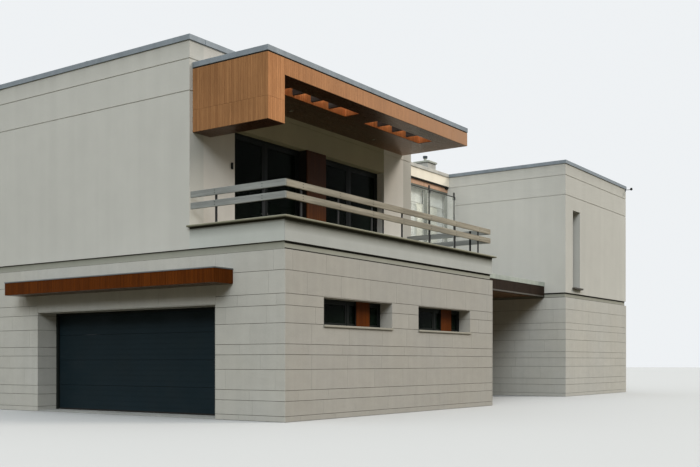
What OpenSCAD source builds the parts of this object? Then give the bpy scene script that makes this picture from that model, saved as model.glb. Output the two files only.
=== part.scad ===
// Detached house with a garage block, a roof terrace, a recessed link and a rear wing.
// X runs along the garage front, Y goes back from it and Z is up, all in millimetres.

/* [Plan] */
// Width of the garage front, from the terrace side to the far end wall
front_w = 11700; // [9500:50:14000]
// Depth of the garage block
garage_block_d = 8505; // [8505:5:9500]
// Depth of the recessed link
link_d = 7095; // [6000:5:9000]
// Depth of the rear wing
wing_d = 5800; // [4500:50:8000]
// How far the face of the link lies behind the terrace side
link_set = 5200; // [4500:50:6500]
// How far the face of the wing lies behind the terrace side
wing_set = 900; // [500:50:1200]
// Depth of the terrace, from its side to the upper wall
terrace_w = 2440; // [2300:10:3200]

/* [Storeys] */
// Height of the stone-clad ground walls
ground_wall_h = 3225; // [3000:5:3600]
// Thickness of the ground walls
ground_wall_t = 550; // [400:10:600]
// Height of the floor slab above the ground
ground_floor_h = 30; // [20:5:100]
// Height of the recessed band between the storeys
band_h = 155; // [100:5:250]
// Depth of the recess of the band
band_set = 40; // [20:5:80]
// Height of the upper walls with their parapets
upper_wall_h = 4186; // [4100:2:4800]
// Thickness of the upper walls
upper_wall_t = 400; // [300:10:440]
// Thickness of the floor and roof slabs
slab_t = 300; // [200:10:400]
// Width of the movement joints between the three blocks
block_joint = 20; // [10:5:40]
// Height of the parapets above the roof
parapet_h = 350; // [200:10:600]

/* [Roof edge] */
// Height of the metal coping on the parapets
coping_h = 114; // [60:2:160]
// Overhang of the coping past the wall faces
coping_over = 25; // [10:5:60]
// Joint between two lengths of coping
coping_joint = 6; // [3:1:12]
// Height of the upper plaster groove below the coping
groove_high = 366; // [250:2:500]
// Height of the lower plaster groove below the coping
groove_low = 1011; // [800:1:1200]
// Height of a plaster groove
groove_h = 24; // [10:2:40]
// Depth of a plaster groove
groove_d = 14; // [6:1:25]

/* [Garage door] */
// Width of the doorway
door_w = 5500; // [4800:50:6000]
// Height of the doorway
door_h = 2250; // [2100:10:2400]
// Wall between the doorway and the terrace side
door_side = 1730; // [1400:10:2200]
// Number of sections in the door
door_sections = 4; // [3:1:5]
// Thickness of the door sections
door_t = 42; // [30:1:60]
// Joint between two sections
door_joint = 6; // [3:1:10]
// Clearance of the door behind the wall
door_seal = 0.3; // [0.1:0.1:0.6]
// Lap of the door behind the edges of the doorway
door_lap = 60; // [30:5:100]
// Height of a pressed rib in the door's face
rib_h = 5; // [3:1:8]
// Ribs in each section
rib_count = 4; // [2:1:6]

/* [Garage canopy] */
// Overhang of the canopy past each side of the doorway
garage_canopy_over = 450; // [200:10:600]
// Projection of the canopy
garage_canopy_d = 540; // [300:10:800]
// Height of the canopy's underside
garage_canopy_z = 2630; // [2500:5:2700]
// Height of its clad face
garage_canopy_h = 270; // [200:5:300]
// Thickness of the metal sheet on the small roofs
sheet_t = 25; // [15:1:40]
// Overhang of the metal on the small roofs
sheet_over = 18; // [8:1:24]

/* [Entrance canopy] */
// How far its front lies behind the terrace side
entry_canopy_set = 1640; // [1400:10:2200]
// Height of its underside
entry_canopy_z = 3250; // [3230:5:3300]
// Height of its clad face
entry_canopy_h = 350; // [250:5:420]
// Height of its metal edge
entry_edge_h = 140; // [60:5:160]
// Width of the lip round its recessed soffit
entry_lip_w = 60; // [30:5:100]
// Depth of the recessed soffit above the lip
entry_lip_h = 50; // [20:5:90]

/* [Terrace] */
// Height of the parapet wall
terrace_parapet_h = 425; // [350:5:600]
// Thickness of the parapet wall
terrace_parapet_t = 300; // [200:10:340]
// Thickness of the coping slabs on it
terrace_coping_t = 40; // [30:2:60]
// Overhang of the coping slabs
terrace_coping_over = 90; // [60:5:120]
// Lap of the front coping slab over the upper wall
terrace_coping_lap = 10; // [5:5:90]
// Joint between the coping slabs
terrace_coping_joint = 5; // [3:1:8]
// Thickness of the terrace paving
deck_t = 35; // [20:5:60]

/* [Railing] */
// Height of a railing board
board_h = 128; // [90:2:150]
// Thickness of a railing board
board_t = 40; // [25:1:50]
// Underside of the lower board above the coping
board_low_z = 316; // [250:2:360]
// Underside of the upper board above the coping
board_high_z = 544; // [520:2:620]
// Gap between the front boards and the side of the upper wall
board_gap = 60; // [5:5:100]
// Distance of the rear boards from the rear edge of the parapet
board_rear_set = 160; // [60:5:200]
// Width of a railing post
post_w = 50; // [30:1:70]
// Thickness of a railing post
post_t = 20; // [12:1:30]
// Distance from the front to the first side post
post_first = 500; // [300:10:700]
// Spacing of the posts
post_pitch = 1208; // [1000:2:1250]
// Distance from the terrace corner to the first front or rear post
post_corner = 520; // [300:10:700]

/* [Wood canopy] */
// Projection of the canopy from the upper wall
canopy_out = 1950; // [1700:10:2100]
// Distance of the canopy behind the front face
canopy_front_set = 93; // [50:1:150]
// Distance from the canopy's far end to the rear corner
canopy_rear_set = 445; // [300:5:700]
// Distance from the coping to the canopy's roof
canopy_drop = 546; // [500:2:700]
// Height of the canopy's clad face
canopy_h = 345; // [250:5:400]
// Height of the hanging leg at its front end
leg_h = 1290; // [900:10:1500]
// Thickness of the hanging leg
leg_t = 507; // [400:1:600]
// Height of the canopy's metal edge
canopy_edge_h = 110; // [60:2:140]
// Width of a light slot
slot_w = 410; // [250:10:600]
// Length of a light slot
slot_l = 2490; // [1800:10:2600]
// Distance from the canopy's outer face to the slots
slot_side = 455; // [350:5:600]
// Distance from the leg to the first slot
slot_start = 750; // [500:10:900]
// Wood left between the two slots
slot_gap = 760; // [400:10:900]
// Fins across each slot
slot_fins = 3; // [2:1:4]
// Thickness of a fin
fin_t = 70; // [40:2:100]
// Height of the fins' lower edges above the soffit
fin_rise = 45; // [5:5:150]

/* [Terrace doors] */
// Distance from the front face to the doors
glazing_start = 1346; // [1200:2:1500]
// Width of the front pair of leaves
glazing_front_w = 2484; // [1800:2:2500]
// Width of the wood pier between the two pairs
pier_w = 730; // [600:10:900]
// Width of the rear pair of leaves
glazing_rear_w = 2590; // [2200:10:2800]
// Head of the doors above the slab
glazing_h = 2670; // [2400:10:2750]
// Depth of the frames behind the wall face
glazing_set = 210; // [120:5:260]
// How far the wood pier stands out of the wall
pier_out = 20; // [15:5:120]

/* [Windows] */
// Width of a window in the terrace side
window_w = 2510; // [2000:10:2700]
// Height of a window in the terrace side
window_h = 590; // [400:10:900]
// Height of the window sill above the ground
window_z = 1810; // [1500:10:2000]
// Distance from the front to the first window
window_first = 1187; // [1000:1:1400]
// Spacing of the windows
window_pitch = 3600; // [3200:10:3700]
// Depth of the small windows behind the wall face
window_set = 300; // [200:10:320]
// Width of the wood panel in a side window
window_panel_w = 500; // [300:10:700]
// Distance from the window's rear end to its wood panel
window_panel_set = 480; // [200:10:900]
// Thickness of that wood panel
window_panel_t = 30; // [20:2:50]
// Width of a slot window
slit_w = 630; // [400:10:800]
// Height of a slot window
slit_h = 2590; // [2000:10:2700]
// Height of a slot window above the slab
slit_z = 150; // [100:5:300]
// Distance from the corner of the wing to its slot window
slit_side = 620; // [450:5:900]
// Width of a frame bar
bar_w = 60; // [40:2:80]
// Depth of a frame bar
bar_t = 70; // [50:2:90]
// Leaves of a wide window
leaves = 2; // [1:1:4]
// Thickness of the glazing
glass_t = 28; // [12:2:40]
// Thickness of a sill
sill_t = 40; // [25:1:60]
// How far a sill stands out
sill_out = 45; // [20:5:80]

/* [Link] */
// Height of the plain band under the link's coping
link_band_h = 326; // [250:2:450]
// Height of the wood panel under that band
link_panel_h = 210; // [150:10:400]
// Bays of the glazing
link_bays = 5; // [4:1:7]
// Depth of the glazing behind the link's face
link_glass_set = 60; // [40:10:260]

/* [Entrance door] */
// Width of the entrance doorway
entry_w = 1300; // [1000:10:1500]
// Height of the entrance doorway
entry_h = 2400; // [2100:10:2700]
// Distance from the garage block to the doorway
entry_side = 2600; // [1500:10:3500]
// Thickness of the door leaf
entry_t = 70; // [50:5:90]

/* [Glass screen] */
// Length of the screen behind the upper wall
screen_l = 2510; // [1800:5:2800]
// Height of the screen
screen_h = 2220; // [1800:10:2400]
// Distance between its two posts
screen_pitch = 1450; // [900:10:1600]
// How far its posts rise above the glass
screen_rise = 140; // [20:5:180]
// Side of a screen post
screen_post = 40; // [30:1:60]
// Thickness of its glass
screen_t = 16; // [10:1:24]
// Gap between its two panes
screen_gap = 8; // [4:1:15]

/* [Chimney] */
// Side of the chimney stack
stack_w = 570; // [350:10:800]
// Height of the stack above the roof's coping
stack_rise = 800; // [500:10:1200]
// Distance from the link's face to the stack
stack_set = 1465; // [1000:10:2500]
// Distance of the stack behind the wing's front
stack_back = 1060; // [600:10:2000]
// Overhang of the chimney hat
hat_over = 40; // [30:5:120]
// Height of the hat's edge
hat_edge = 60; // [40:5:100]
// Height of the hat's slope
hat_rise = 70; // [60:5:160]
// Diameter of the flue
flue_d = 100; // [80:10:200]
// Height of the flue above the hat
flue_h = 80; // [60:5:200]
// Diameter of the cowl
cowl_d = 170; // [120:10:350]
// Height of the cowl
cowl_h = 80; // [30:5:100]

/* [Hidden] */
$fn = 48;

// Faces of the blocks
end_x = -front_w;
upper_x = -terrace_w;
link_x = -link_set;
wing_x = -wing_set;
link_y = garage_block_d;
wing_y = link_y + link_d;
rear_y = wing_y + wing_d;

// Movement joints, in line with the edges of the floor slabs
joint_front_y = link_y - band_set;
joint_rear_y = wing_y + band_set;

// Levels
upper_z = ground_wall_h + band_h;
parapet_z = upper_z + upper_wall_h;
roof_z = parapet_z - parapet_h;
terrace_top_z = upper_z + terrace_parapet_h + terrace_coping_t;
glazing_head_z = upper_z + glazing_h;
canopy_top_z = parapet_z - canopy_drop;
canopy_low_z = canopy_top_z - canopy_h;
link_head_z = parapet_z - link_band_h;
entry_roof_z = entry_canopy_z + entry_canopy_h + entry_edge_h;
stack_top_z = parapet_z + coping_h + stack_rise;

// Garage doorway
door_x1 = -door_side;
door_x0 = door_x1 - door_w;

// Wood canopy
canopy_x = upper_x + canopy_out;
canopy_y0 = canopy_front_set;
leg_y = canopy_y0 + leg_t;
canopy_y1 = link_y - canopy_rear_set;
slot_x1 = canopy_x - slot_side;
slot_x0 = slot_x1 - slot_w;
slot_y = [leg_y + slot_start, leg_y + slot_start + slot_l + slot_gap];

// Terrace doors
glazing_y0 = glazing_start;
pier_y0 = glazing_y0 + glazing_front_w;
pier_y1 = pier_y0 + pier_w;
glazing_y1 = pier_y1 + glazing_rear_w;
frame_x1 = upper_x - glazing_set;

// Windows of the terrace side, the wing's side, the far end and the rear
window_y = [window_first, window_first + window_pitch];
slit_y0 = wing_y + slit_side;
end_slits = [for (k = [0 : 2]) link_y / 2 + k * (rear_y - link_y) / 2 - slit_w / 2];
end_windows = [link_y / 2 - window_w / 2, rear_y - wing_d / 2 - window_w / 2];
rear_bays = [for (k = [1 : 2]) end_x + k * (front_w - wing_set) / 3];
slit_low_z = upper_z + slit_z;

// The whole object stands with the middle of its footprint on the origin
low_x = end_x - coping_over;
high_x = terrace_coping_over;
low_y = -garage_canopy_d - sheet_over;
high_y = rear_y + coping_over;

// Margin of a cut past the faces that it goes through
cut = 5;

// Outline of the upper storey, drawn in by d
function upper_plan(d) = [
    [end_x + d, d], [upper_x - d, d], [upper_x - d, link_y - d], [link_x - d, link_y - d],
    [link_x - d, wing_y + d], [wing_x - d, wing_y + d], [wing_x - d, rear_y - d],
    [end_x + d, rear_y - d]];

// Puts a piece in its place
module placed() {
    translate([-(low_x + high_x) / 2, -(low_y + high_y) / 2, 0]) children();
}

// Box between two corners
module block(a, b) {
    translate(a) cube(b - a);
}

// Upright hole in a wall that faces along X
module hole_x(x, t, y, w, z, h) {
    block([x - t - cut, y, z], [x + cut, y + w, z + h]);
}

// Upright hole in the rear wall
module hole_y(t, x, w, z, h) {
    block([x, rear_y - t - cut, z], [x + w, rear_y + cut, z + h]);
}

// The grooves that run round the plaster of the upper storey
module grooves() {
    for (drop = [groove_high, groove_low])
        translate([0, 0, parapet_z - drop - groove_h / 2])
            linear_extrude(groove_h)
                difference() {
                    polygon(upper_plan(-cut));
                    polygon(upper_plan(groove_d));
                }
}

// Piece of the upper storey's plaster wall
module plaster(a, b) {
    difference() {
        block(concat(a, upper_z), concat(b, parapet_z));
        grooves();
    }
}

// Piece of the ground storey's stone wall
module stone(a, b, z = 0) {
    block(concat(a, z), concat(b, ground_wall_h));
}

// Panes of a window that lies across X, as sheets of thickness t behind x
module panes(x, t, y0, y1, z0, z1, count) {
    w = (y1 - y0 - (count + 1) * bar_w) / count;
    for (k = [0 : count - 1])
        translate([x - t, y0 + bar_w + k * (w + bar_w), z0 + bar_w])
            cube([t, w, z1 - z0 - 2 * bar_w]);
}

// Either the frame or the glass of a window with its front at x
module window(part, x, y0, y1, z0, z1, count) {
    if (part == "frame")
        difference() {
            block([x - bar_t, y0, z0], [x, y1, z1]);
            panes(x + cut, bar_t + 2 * cut, y0, y1, z0, z1, count);
        }
    else
        panes(x - (bar_t - glass_t) / 2, glass_t, y0, y1, z0, z1, count);
}

// Walls of the ground storey
module front_wall_left() color("gainsboro") placed() stone([end_x, 0], [door_x0, ground_wall_t]);

module front_wall_right() color("gainsboro") placed() stone([door_x1, 0], [0, ground_wall_t]);

module garage_lintel() color("gainsboro") placed()
    stone([door_x0, 0], [door_x1, ground_wall_t], door_h);

module side_wall() color("gainsboro") placed()
    difference() {
        stone([-ground_wall_t, ground_wall_t], [0, link_y - ground_wall_t]);
        for (y = window_y) hole_x(0, ground_wall_t, y, window_w, window_z, window_h);
    }

module porch_side_wall() color("gainsboro") placed()
    stone([link_x - ground_wall_t, link_y - ground_wall_t], [0, link_y]);

module entrance_wall() color("gainsboro") placed()
    difference() {
        stone([link_x - ground_wall_t, link_y], [link_x, wing_y]);
        hole_x(link_x, ground_wall_t, link_y + entry_side, entry_w, -cut, entry_h + cut);
    }

module wing_ground_front() color("gainsboro") placed()
    stone([link_x - ground_wall_t, wing_y], [wing_x, wing_y + ground_wall_t]);

module wing_ground_side() color("gainsboro") placed()
    stone([wing_x - ground_wall_t, wing_y + ground_wall_t], [wing_x, rear_y - ground_wall_t]);

module rear_ground_wall() color("gainsboro") placed()
    difference() {
        stone([end_x, rear_y - ground_wall_t], [wing_x, rear_y]);
        for (x = rear_bays) hole_y(ground_wall_t, x - window_w / 2, window_w, window_z, window_h);
    }

module end_ground_wall() color("gainsboro") placed()
    difference() {
        stone([end_x, ground_wall_t], [end_x + ground_wall_t, rear_y - ground_wall_t]);
        for (y = end_windows)
            hole_x(end_x + ground_wall_t, ground_wall_t, y, window_w, window_z, window_h);
    }

// Walls of the upper storey
module upper_front_wall() color("whitesmoke") placed()
    plaster([end_x, 0], [upper_x, upper_wall_t]);

module terrace_wall_piers() color("whitesmoke") placed() {
    plaster([upper_x - upper_wall_t, upper_wall_t], [upper_x, glazing_y0]);
    plaster([upper_x - upper_wall_t, glazing_y1], [upper_x, link_y - upper_wall_t]);
}

module terrace_wall_lintel() color("whitesmoke") placed()
    difference() {
        block([upper_x - upper_wall_t, glazing_y0, glazing_head_z],
              [upper_x, glazing_y1, parapet_z]);
        grooves();
    }

module upper_return_wall() color("whitesmoke") placed()
    plaster([link_x - upper_wall_t, link_y - upper_wall_t], [upper_x, link_y]);

module link_wall() color("whitesmoke") placed() {
    difference() {
        block([link_x - upper_wall_t, link_y, link_head_z], [link_x, wing_y, parapet_z]);
        grooves();
    }
    block([link_x - upper_wall_t, link_y, upper_z], [link_x, wing_y, entry_roof_z]);
}

module wing_upper_front() color("whitesmoke") placed()
    plaster([link_x - upper_wall_t, wing_y], [wing_x, wing_y + upper_wall_t]);

module wing_upper_side() color("whitesmoke") placed()
    difference() {
        plaster([wing_x - upper_wall_t, wing_y + upper_wall_t], [wing_x, rear_y - upper_wall_t]);
        hole_x(wing_x, upper_wall_t, slit_y0, slit_w, slit_low_z, slit_h);
    }

module rear_upper_wall() color("whitesmoke") placed()
    difference() {
        plaster([end_x, rear_y - upper_wall_t], [wing_x, rear_y]);
        for (x = rear_bays) hole_y(upper_wall_t, x - slit_w / 2, slit_w, slit_low_z, slit_h);
    }

module end_upper_wall() color("whitesmoke") placed()
    difference() {
        plaster([end_x, upper_wall_t], [end_x + upper_wall_t, rear_y - upper_wall_t]);
        for (y = end_slits)
            hole_x(end_x + upper_wall_t, upper_wall_t, y, slit_w, slit_low_z, slit_h);
    }

// Slabs drawn in by t, in three blocks with movement joints between them
module slabs(t, main_x, z0, z1) {
    block([end_x + t, t, z0], [main_x - t, link_y - t, z1]);
    block([end_x + t, link_y - t, z0], [link_x - t, joint_front_y, z1]);
    block([end_x + t, joint_front_y + block_joint, z0],
          [link_x - t, joint_rear_y - block_joint, z1]);
    block([end_x + t, joint_rear_y, z0], [link_x - t, wing_y + t, z1]);
    block([end_x + t, wing_y + t, z0], [wing_x - t, rear_y - t, z1]);
}

module ground_slabs() color("darkgray") placed() {
    slabs(ground_wall_t, 0, 0, ground_floor_h);
    block([door_x0, 0, 0], [door_x1, ground_wall_t, ground_floor_h]);
    block([link_x - ground_wall_t, link_y + entry_side, 0],
          [link_x, link_y + entry_side + entry_w, ground_floor_h]);
}

module floor_slabs() color("silver") placed() {
    block([end_x + band_set, band_set, ground_wall_h],
          [-band_set, joint_front_y, upper_z]);
    block([end_x + band_set, joint_front_y + block_joint, ground_wall_h],
          [link_x - band_set, joint_rear_y - block_joint, upper_z]);
    block([end_x + band_set, joint_rear_y, ground_wall_h],
          [wing_x - band_set, rear_y - band_set, upper_z]);
    slabs(ground_wall_t, 0, upper_z - slab_t, ground_wall_h);
}

module roof_slabs() color("dimgray") placed()
    slabs(upper_wall_t, upper_x, roof_z - slab_t, roof_z);

// Metal coping, in one length for each run of parapet
module roof_coping() color("slategray") placed() {
    o = coping_over;
    t = upper_wall_t + coping_over;
    j = coping_joint;
    runs = [
        [end_x - o, -o, upper_x + o, t],
        [upper_x - t, t + j, upper_x + o, link_y - t - j],
        [link_x - t, link_y - t, upper_x + o, link_y + o],
        [link_x - t, link_y + o + j, link_x + o, wing_y - o - j],
        [link_x - t, wing_y - o, wing_x + o, wing_y + t],
        [wing_x - t, wing_y + t + j, wing_x + o, rear_y - t - j],
        [end_x - o, rear_y - t, wing_x + o, rear_y + o],
        [end_x - o, t + j, end_x + t, rear_y - t - j]];
    for (r = runs) block([r[0], r[1], parapet_z], [r[2], r[3], parapet_z + coping_h]);
}

// Terrace over the garage block
module terrace_parapet() color("gainsboro") placed()
    difference() {
        block([upper_x, 0, upper_z], [0, link_y, upper_z + terrace_parapet_h]);
        block([upper_x - cut, terrace_parapet_t, upper_z - cut],
              [-terrace_parapet_t, link_y - terrace_parapet_t, parapet_z]);
    }

module terrace_coping() color("lightslategray") placed() {
    z0 = upper_z + terrace_parapet_h;
    o = terrace_coping_over;
    t = terrace_parapet_t + sheet_over;
    j = terrace_coping_joint;
    block([upper_x - terrace_coping_lap, -o, z0], [o, 0, terrace_top_z]);
    block([upper_x, 0, z0], [o, t, terrace_top_z]);
    block([-t, t + j, z0], [o, link_y - t - j, terrace_top_z]);
    block([upper_x, link_y - t, z0], [o, link_y + o, terrace_top_z]);
}

module terrace_paving() color("darkgray") placed()
    block([upper_x, terrace_parapet_t, upper_z],
          [-terrace_parapet_t, link_y - terrace_parapet_t, upper_z + deck_t]);

// Posts that a run of railing takes past its first one
function posts_along(run) = [0 : floor(run / post_pitch)];

// Two boards on posts round the terrace
module rail_boards() color("tan") placed() {
    rear = link_y - board_rear_set;
    for (z = [terrace_top_z + board_low_z, terrace_top_z + board_high_z]) {
        block([upper_x + board_gap, -board_t, z], [board_t, 0, z + board_h]);
        block([0, terrace_coping_joint, z], [board_t, rear, z + board_h]);
        block([upper_x, rear - board_t, z], [-terrace_coping_joint, rear, z + board_h]);
    }
}

module rail_posts() color("black") placed() {
    top = terrace_top_z + board_high_z + board_h;
    rear = link_y - board_rear_set - board_t;
    for (k = posts_along(rear - post_first)) {
        y = post_first + k * post_pitch;
        block([-post_t, y - post_w / 2, terrace_top_z], [0, y + post_w / 2, top]);
    }
    for (k = posts_along(terrace_w - post_corner)) {
        x = -post_corner - k * post_pitch;
        block([x - post_w / 2, 0, terrace_top_z], [x + post_w / 2, post_t, top]);
        block([x - post_w / 2, rear - post_t, terrace_top_z], [x + post_w / 2, rear, top]);
    }
}

// Wood-clad canopy over the terrace, with two slots that let the light through
module slots(z0, z1) {
    for (y = slot_y) block([slot_x0, y, z0], [slot_x1, y + slot_l, z1]);
}

module canopy_body() color("sienna") placed()
    difference() {
        block([upper_x, leg_y, canopy_low_z], [canopy_x, canopy_y1, canopy_top_z]);
        slots(canopy_low_z - cut, canopy_top_z + cut);
    }

module canopy_leg() color("sienna") placed()
    block([upper_x, canopy_y0, canopy_top_z - leg_h], [canopy_x, leg_y, canopy_top_z]);

module canopy_fins() color("saddlebrown") placed()
    for (y = slot_y, k = [1 : slot_fins]) {
        mid = y + k * (slot_l + fin_t) / (slot_fins + 1) - fin_t / 2;
        block([slot_x0, mid - fin_t / 2, canopy_low_z + fin_rise],
              [slot_x1, mid + fin_t / 2, canopy_top_z]);
    }

// Metal roofs of the three canopies
module small_roofs() color("slategray") placed() {
    difference() {
        block([upper_x, canopy_y0 - sheet_over, canopy_top_z],
              [canopy_x + sheet_over, canopy_y1 + sheet_over, canopy_top_z + canopy_edge_h]);
        slots(canopy_top_z - cut, canopy_top_z + canopy_edge_h + cut);
    }
    block([door_x0 - garage_canopy_over - sheet_over, -garage_canopy_d - sheet_over,
           garage_canopy_z + garage_canopy_h],
          [door_x1 + garage_canopy_over + sheet_over, 0,
           garage_canopy_z + garage_canopy_h + sheet_t]);
    block([link_x, link_y, entry_roof_z - entry_edge_h],
          [-entry_canopy_set + sheet_over, wing_y, entry_roof_z]);
}

// Sectional garage door, laid behind the edges of the doorway
module garage_door() color("darkslategray") placed() {
    pitch = (door_h + door_lap - ground_floor_h) / door_sections;
    face = ground_wall_t + door_seal;
    for (k = [0 : door_sections - 1]) {
        z0 = ground_floor_h + k * pitch;
        difference() {
            block([door_x0 - door_lap, face, z0],
                  [door_x1 + door_lap, face + door_t, z0 + pitch - door_joint]);
            for (n = [1 : rib_count]) {
                z = z0 + n * pitch / (rib_count + 1);
                block([door_x0 - door_lap - cut, face - cut, z - rib_h / 2],
                      [door_x1 + door_lap + cut, face + rib_h, z + rib_h / 2]);
            }
        }
    }
}

module garage_canopy() color("sienna") placed()
    block([door_x0 - garage_canopy_over, -garage_canopy_d, garage_canopy_z],
          [door_x1 + garage_canopy_over, 0, garage_canopy_z + garage_canopy_h]);

module entrance_canopy() color("saddlebrown") placed()
    difference() {
        block([link_x, link_y, entry_canopy_z],
              [-entry_canopy_set, wing_y, entry_canopy_z + entry_canopy_h]);
        block([link_x - cut, link_y - cut, entry_canopy_z - cut],
              [-entry_canopy_set - entry_lip_w, wing_y + cut, entry_canopy_z + entry_lip_h]);
    }

module entrance_door() color("saddlebrown") placed()
    block([link_x - ground_wall_t / 2 - entry_t, link_y + entry_side, ground_floor_h],
          [link_x - ground_wall_t / 2, link_y + entry_side + entry_w, entry_h]);

// Frames, glass and sills
module windows(part) {
    window(part, frame_x1, glazing_y0, pier_y0, upper_z, glazing_head_z, leaves);
    window(part, frame_x1, pier_y1, glazing_y1, upper_z, glazing_head_z, leaves);
    window(part, link_x - link_glass_set, link_y, wing_y, entry_roof_z,
           link_head_z - link_panel_h, link_bays);
    window(part, wing_x - window_set, slit_y0, slit_y0 + slit_w,
           slit_low_z, slit_low_z + slit_h, 1);
    for (y = window_y)
        window(part, -window_set, y, y + window_w, window_z, window_z + window_h, leaves);
    for (y = end_windows)
        window(part, end_x + window_set + bar_t, y, y + window_w,
               window_z, window_z + window_h, leaves);
    for (y = end_slits)
        window(part, end_x + window_set + bar_t, y, y + slit_w,
               slit_low_z, slit_low_z + slit_h, 1);
    for (x = rear_bays) {
        translate([x + slit_w / 2, rear_y - window_set, 0]) rotate(90)
            window(part, 0, 0, slit_w, slit_low_z, slit_low_z + slit_h, 1);
        translate([x + window_w / 2, rear_y - window_set, 0]) rotate(90)
            window(part, 0, 0, window_w, window_z, window_z + window_h, leaves);
    }
}

module window_frames() color("black") placed() windows("frame");

module window_glass() color("lightblue") placed() windows("glass");

module window_sills() color("dimgray") placed() {
    for (y = window_y)
        block([-window_set, y, window_z], [sill_out, y + window_w, window_z + sill_t]);
    block([wing_x - window_set, slit_y0, slit_low_z],
          [wing_x + sill_out, slit_y0 + slit_w, slit_low_z + sill_t]);
    for (y = end_windows)
        block([end_x - sill_out, y, window_z],
              [end_x + window_set, y + window_w, window_z + sill_t]);
    for (y = end_slits)
        block([end_x - sill_out, y, slit_low_z],
              [end_x + window_set, y + slit_w, slit_low_z + sill_t]);
    for (x = rear_bays) {
        block([x - slit_w / 2, rear_y - window_set, slit_low_z],
              [x + slit_w / 2, rear_y + sill_out, slit_low_z + sill_t]);
        block([x - window_w / 2, rear_y - window_set, window_z],
              [x + window_w / 2, rear_y + sill_out, window_z + sill_t]);
    }
}

// Wood between the terrace doors, beside the small windows and over the link's glazing
module wood_panels() color("sienna") placed() {
    block([frame_x1 - bar_t, pier_y0, upper_z], [upper_x, pier_y1, glazing_head_z]);
    block([upper_x, pier_y0, upper_z + deck_t],
          [upper_x + pier_out, pier_y1, glazing_head_z]);
    for (y = window_y) {
        y1 = y + window_w - window_panel_set;
        block([-window_set, y1 - window_panel_w, window_z + sill_t],
              [-window_set + window_panel_t, y1, window_z + window_h]);
    }
    block([link_x - link_glass_set - bar_t, link_y, link_head_z - link_panel_h],
          [link_x - link_glass_set, wing_y, link_head_z]);
}

// Glass screen on the entrance canopy's roof, in line with the upper wall
module screen_posts() color("dimgray") placed()
    for (y = [link_y + screen_l - screen_pitch, link_y + screen_l])
        block([upper_x - screen_t - screen_post, y - screen_post, entry_roof_z],
              [upper_x - screen_t, y, entry_roof_z + screen_h + screen_rise]);

module screen_glass() color("lightcyan") placed() {
    joint = link_y + screen_l - screen_pitch - screen_post / 2;
    for (y = [[link_y, joint - screen_gap / 2], [joint + screen_gap / 2, link_y + screen_l]])
        block([upper_x - screen_t, y[0], entry_roof_z],
              [upper_x, y[1], entry_roof_z + screen_h]);
}

// Chimney behind the link, with its hat and cowl
module chimney_stack() color("gainsboro") placed()
    block([link_x - stack_set - stack_w, wing_y + stack_back, roof_z],
          [link_x - stack_set, wing_y + stack_back + stack_w, stack_top_z]);

// Side view of the hat, which slopes to the flue
module hat_side() {
    side = stack_w / 2 + hat_over;
    top = hat_edge + hat_rise;
    rotate([90, 0, 0])
        linear_extrude(2 * side, center = true)
            polygon([[-side, 0], [side, 0], [side, hat_edge], [flue_d / 2, top],
                     [-flue_d / 2, top], [-side, hat_edge]]);
}

module chimney_cap() color("slategray") placed()
    translate([link_x - stack_set - stack_w / 2, wing_y + stack_back + stack_w / 2, stack_top_z]) {
        intersection() {
            hat_side();
            rotate(90) hat_side();
        }
        cylinder(h = hat_edge + hat_rise + flue_h, d = flue_d);
        translate([0, 0, hat_edge + hat_rise + flue_h]) cylinder(h = cowl_h, d = cowl_d);
    }

front_wall_left();
front_wall_right();
garage_lintel();
side_wall();
porch_side_wall();
entrance_wall();
wing_ground_front();
wing_ground_side();
rear_ground_wall();
end_ground_wall();
upper_front_wall();
terrace_wall_piers();
terrace_wall_lintel();
upper_return_wall();
link_wall();
wing_upper_front();
wing_upper_side();
rear_upper_wall();
end_upper_wall();
ground_slabs();
floor_slabs();
roof_slabs();
roof_coping();
terrace_parapet();
terrace_coping();
terrace_paving();
rail_boards();
rail_posts();
canopy_body();
canopy_leg();
canopy_fins();
small_roofs();
garage_door();
garage_canopy();
entrance_canopy();
entrance_door();
window_frames();
window_glass();
window_sills();
wood_panels();
screen_posts();
screen_glass();
chimney_stack();
chimney_cap();
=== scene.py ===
# %% [markdown]
# # A detached house with a roof terrace
#
# The house is a garage block with a terrace on its roof, a recessed link and a rear wing. Its walls, slabs,
# frames and canopies are already solid, at their real size. This script gives each surface its finish and
# adds what is too fine for the solids: stone tiles, wood battens, sashes, curtains, drips, lamps, handles.
#
# Every new piece is placed from the frame, so a change of size in the solids carries through to the finish.

# %% Load the frame
import math
import random

import bmesh
import bpy
from mathutils import Matrix, Vector


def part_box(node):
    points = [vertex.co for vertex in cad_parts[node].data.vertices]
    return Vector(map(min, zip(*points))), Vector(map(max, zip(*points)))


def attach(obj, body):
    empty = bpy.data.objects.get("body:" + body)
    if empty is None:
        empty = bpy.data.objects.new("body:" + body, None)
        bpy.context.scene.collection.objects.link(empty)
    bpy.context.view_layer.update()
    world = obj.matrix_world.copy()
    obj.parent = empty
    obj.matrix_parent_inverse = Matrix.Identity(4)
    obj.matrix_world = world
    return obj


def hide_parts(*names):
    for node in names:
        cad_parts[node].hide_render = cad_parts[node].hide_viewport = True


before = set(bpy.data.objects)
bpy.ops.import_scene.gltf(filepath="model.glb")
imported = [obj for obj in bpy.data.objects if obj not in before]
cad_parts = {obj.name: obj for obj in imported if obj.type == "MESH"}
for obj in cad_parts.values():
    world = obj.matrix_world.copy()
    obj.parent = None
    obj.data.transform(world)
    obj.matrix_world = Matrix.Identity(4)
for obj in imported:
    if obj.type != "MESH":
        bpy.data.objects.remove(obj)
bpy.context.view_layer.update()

bpy.context.scene.view_settings.view_transform = "Standard"
print("nodes in the frame:", len(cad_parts))

# %% [markdown]
# ## Camera
#
# The house is seen from eye height in front of its terrace corner. The walls stay upright in such a view when
# the camera is kept level and its picture is shifted up instead of tilted. Its place is measured from the
# near corner of the garage block.

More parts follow.
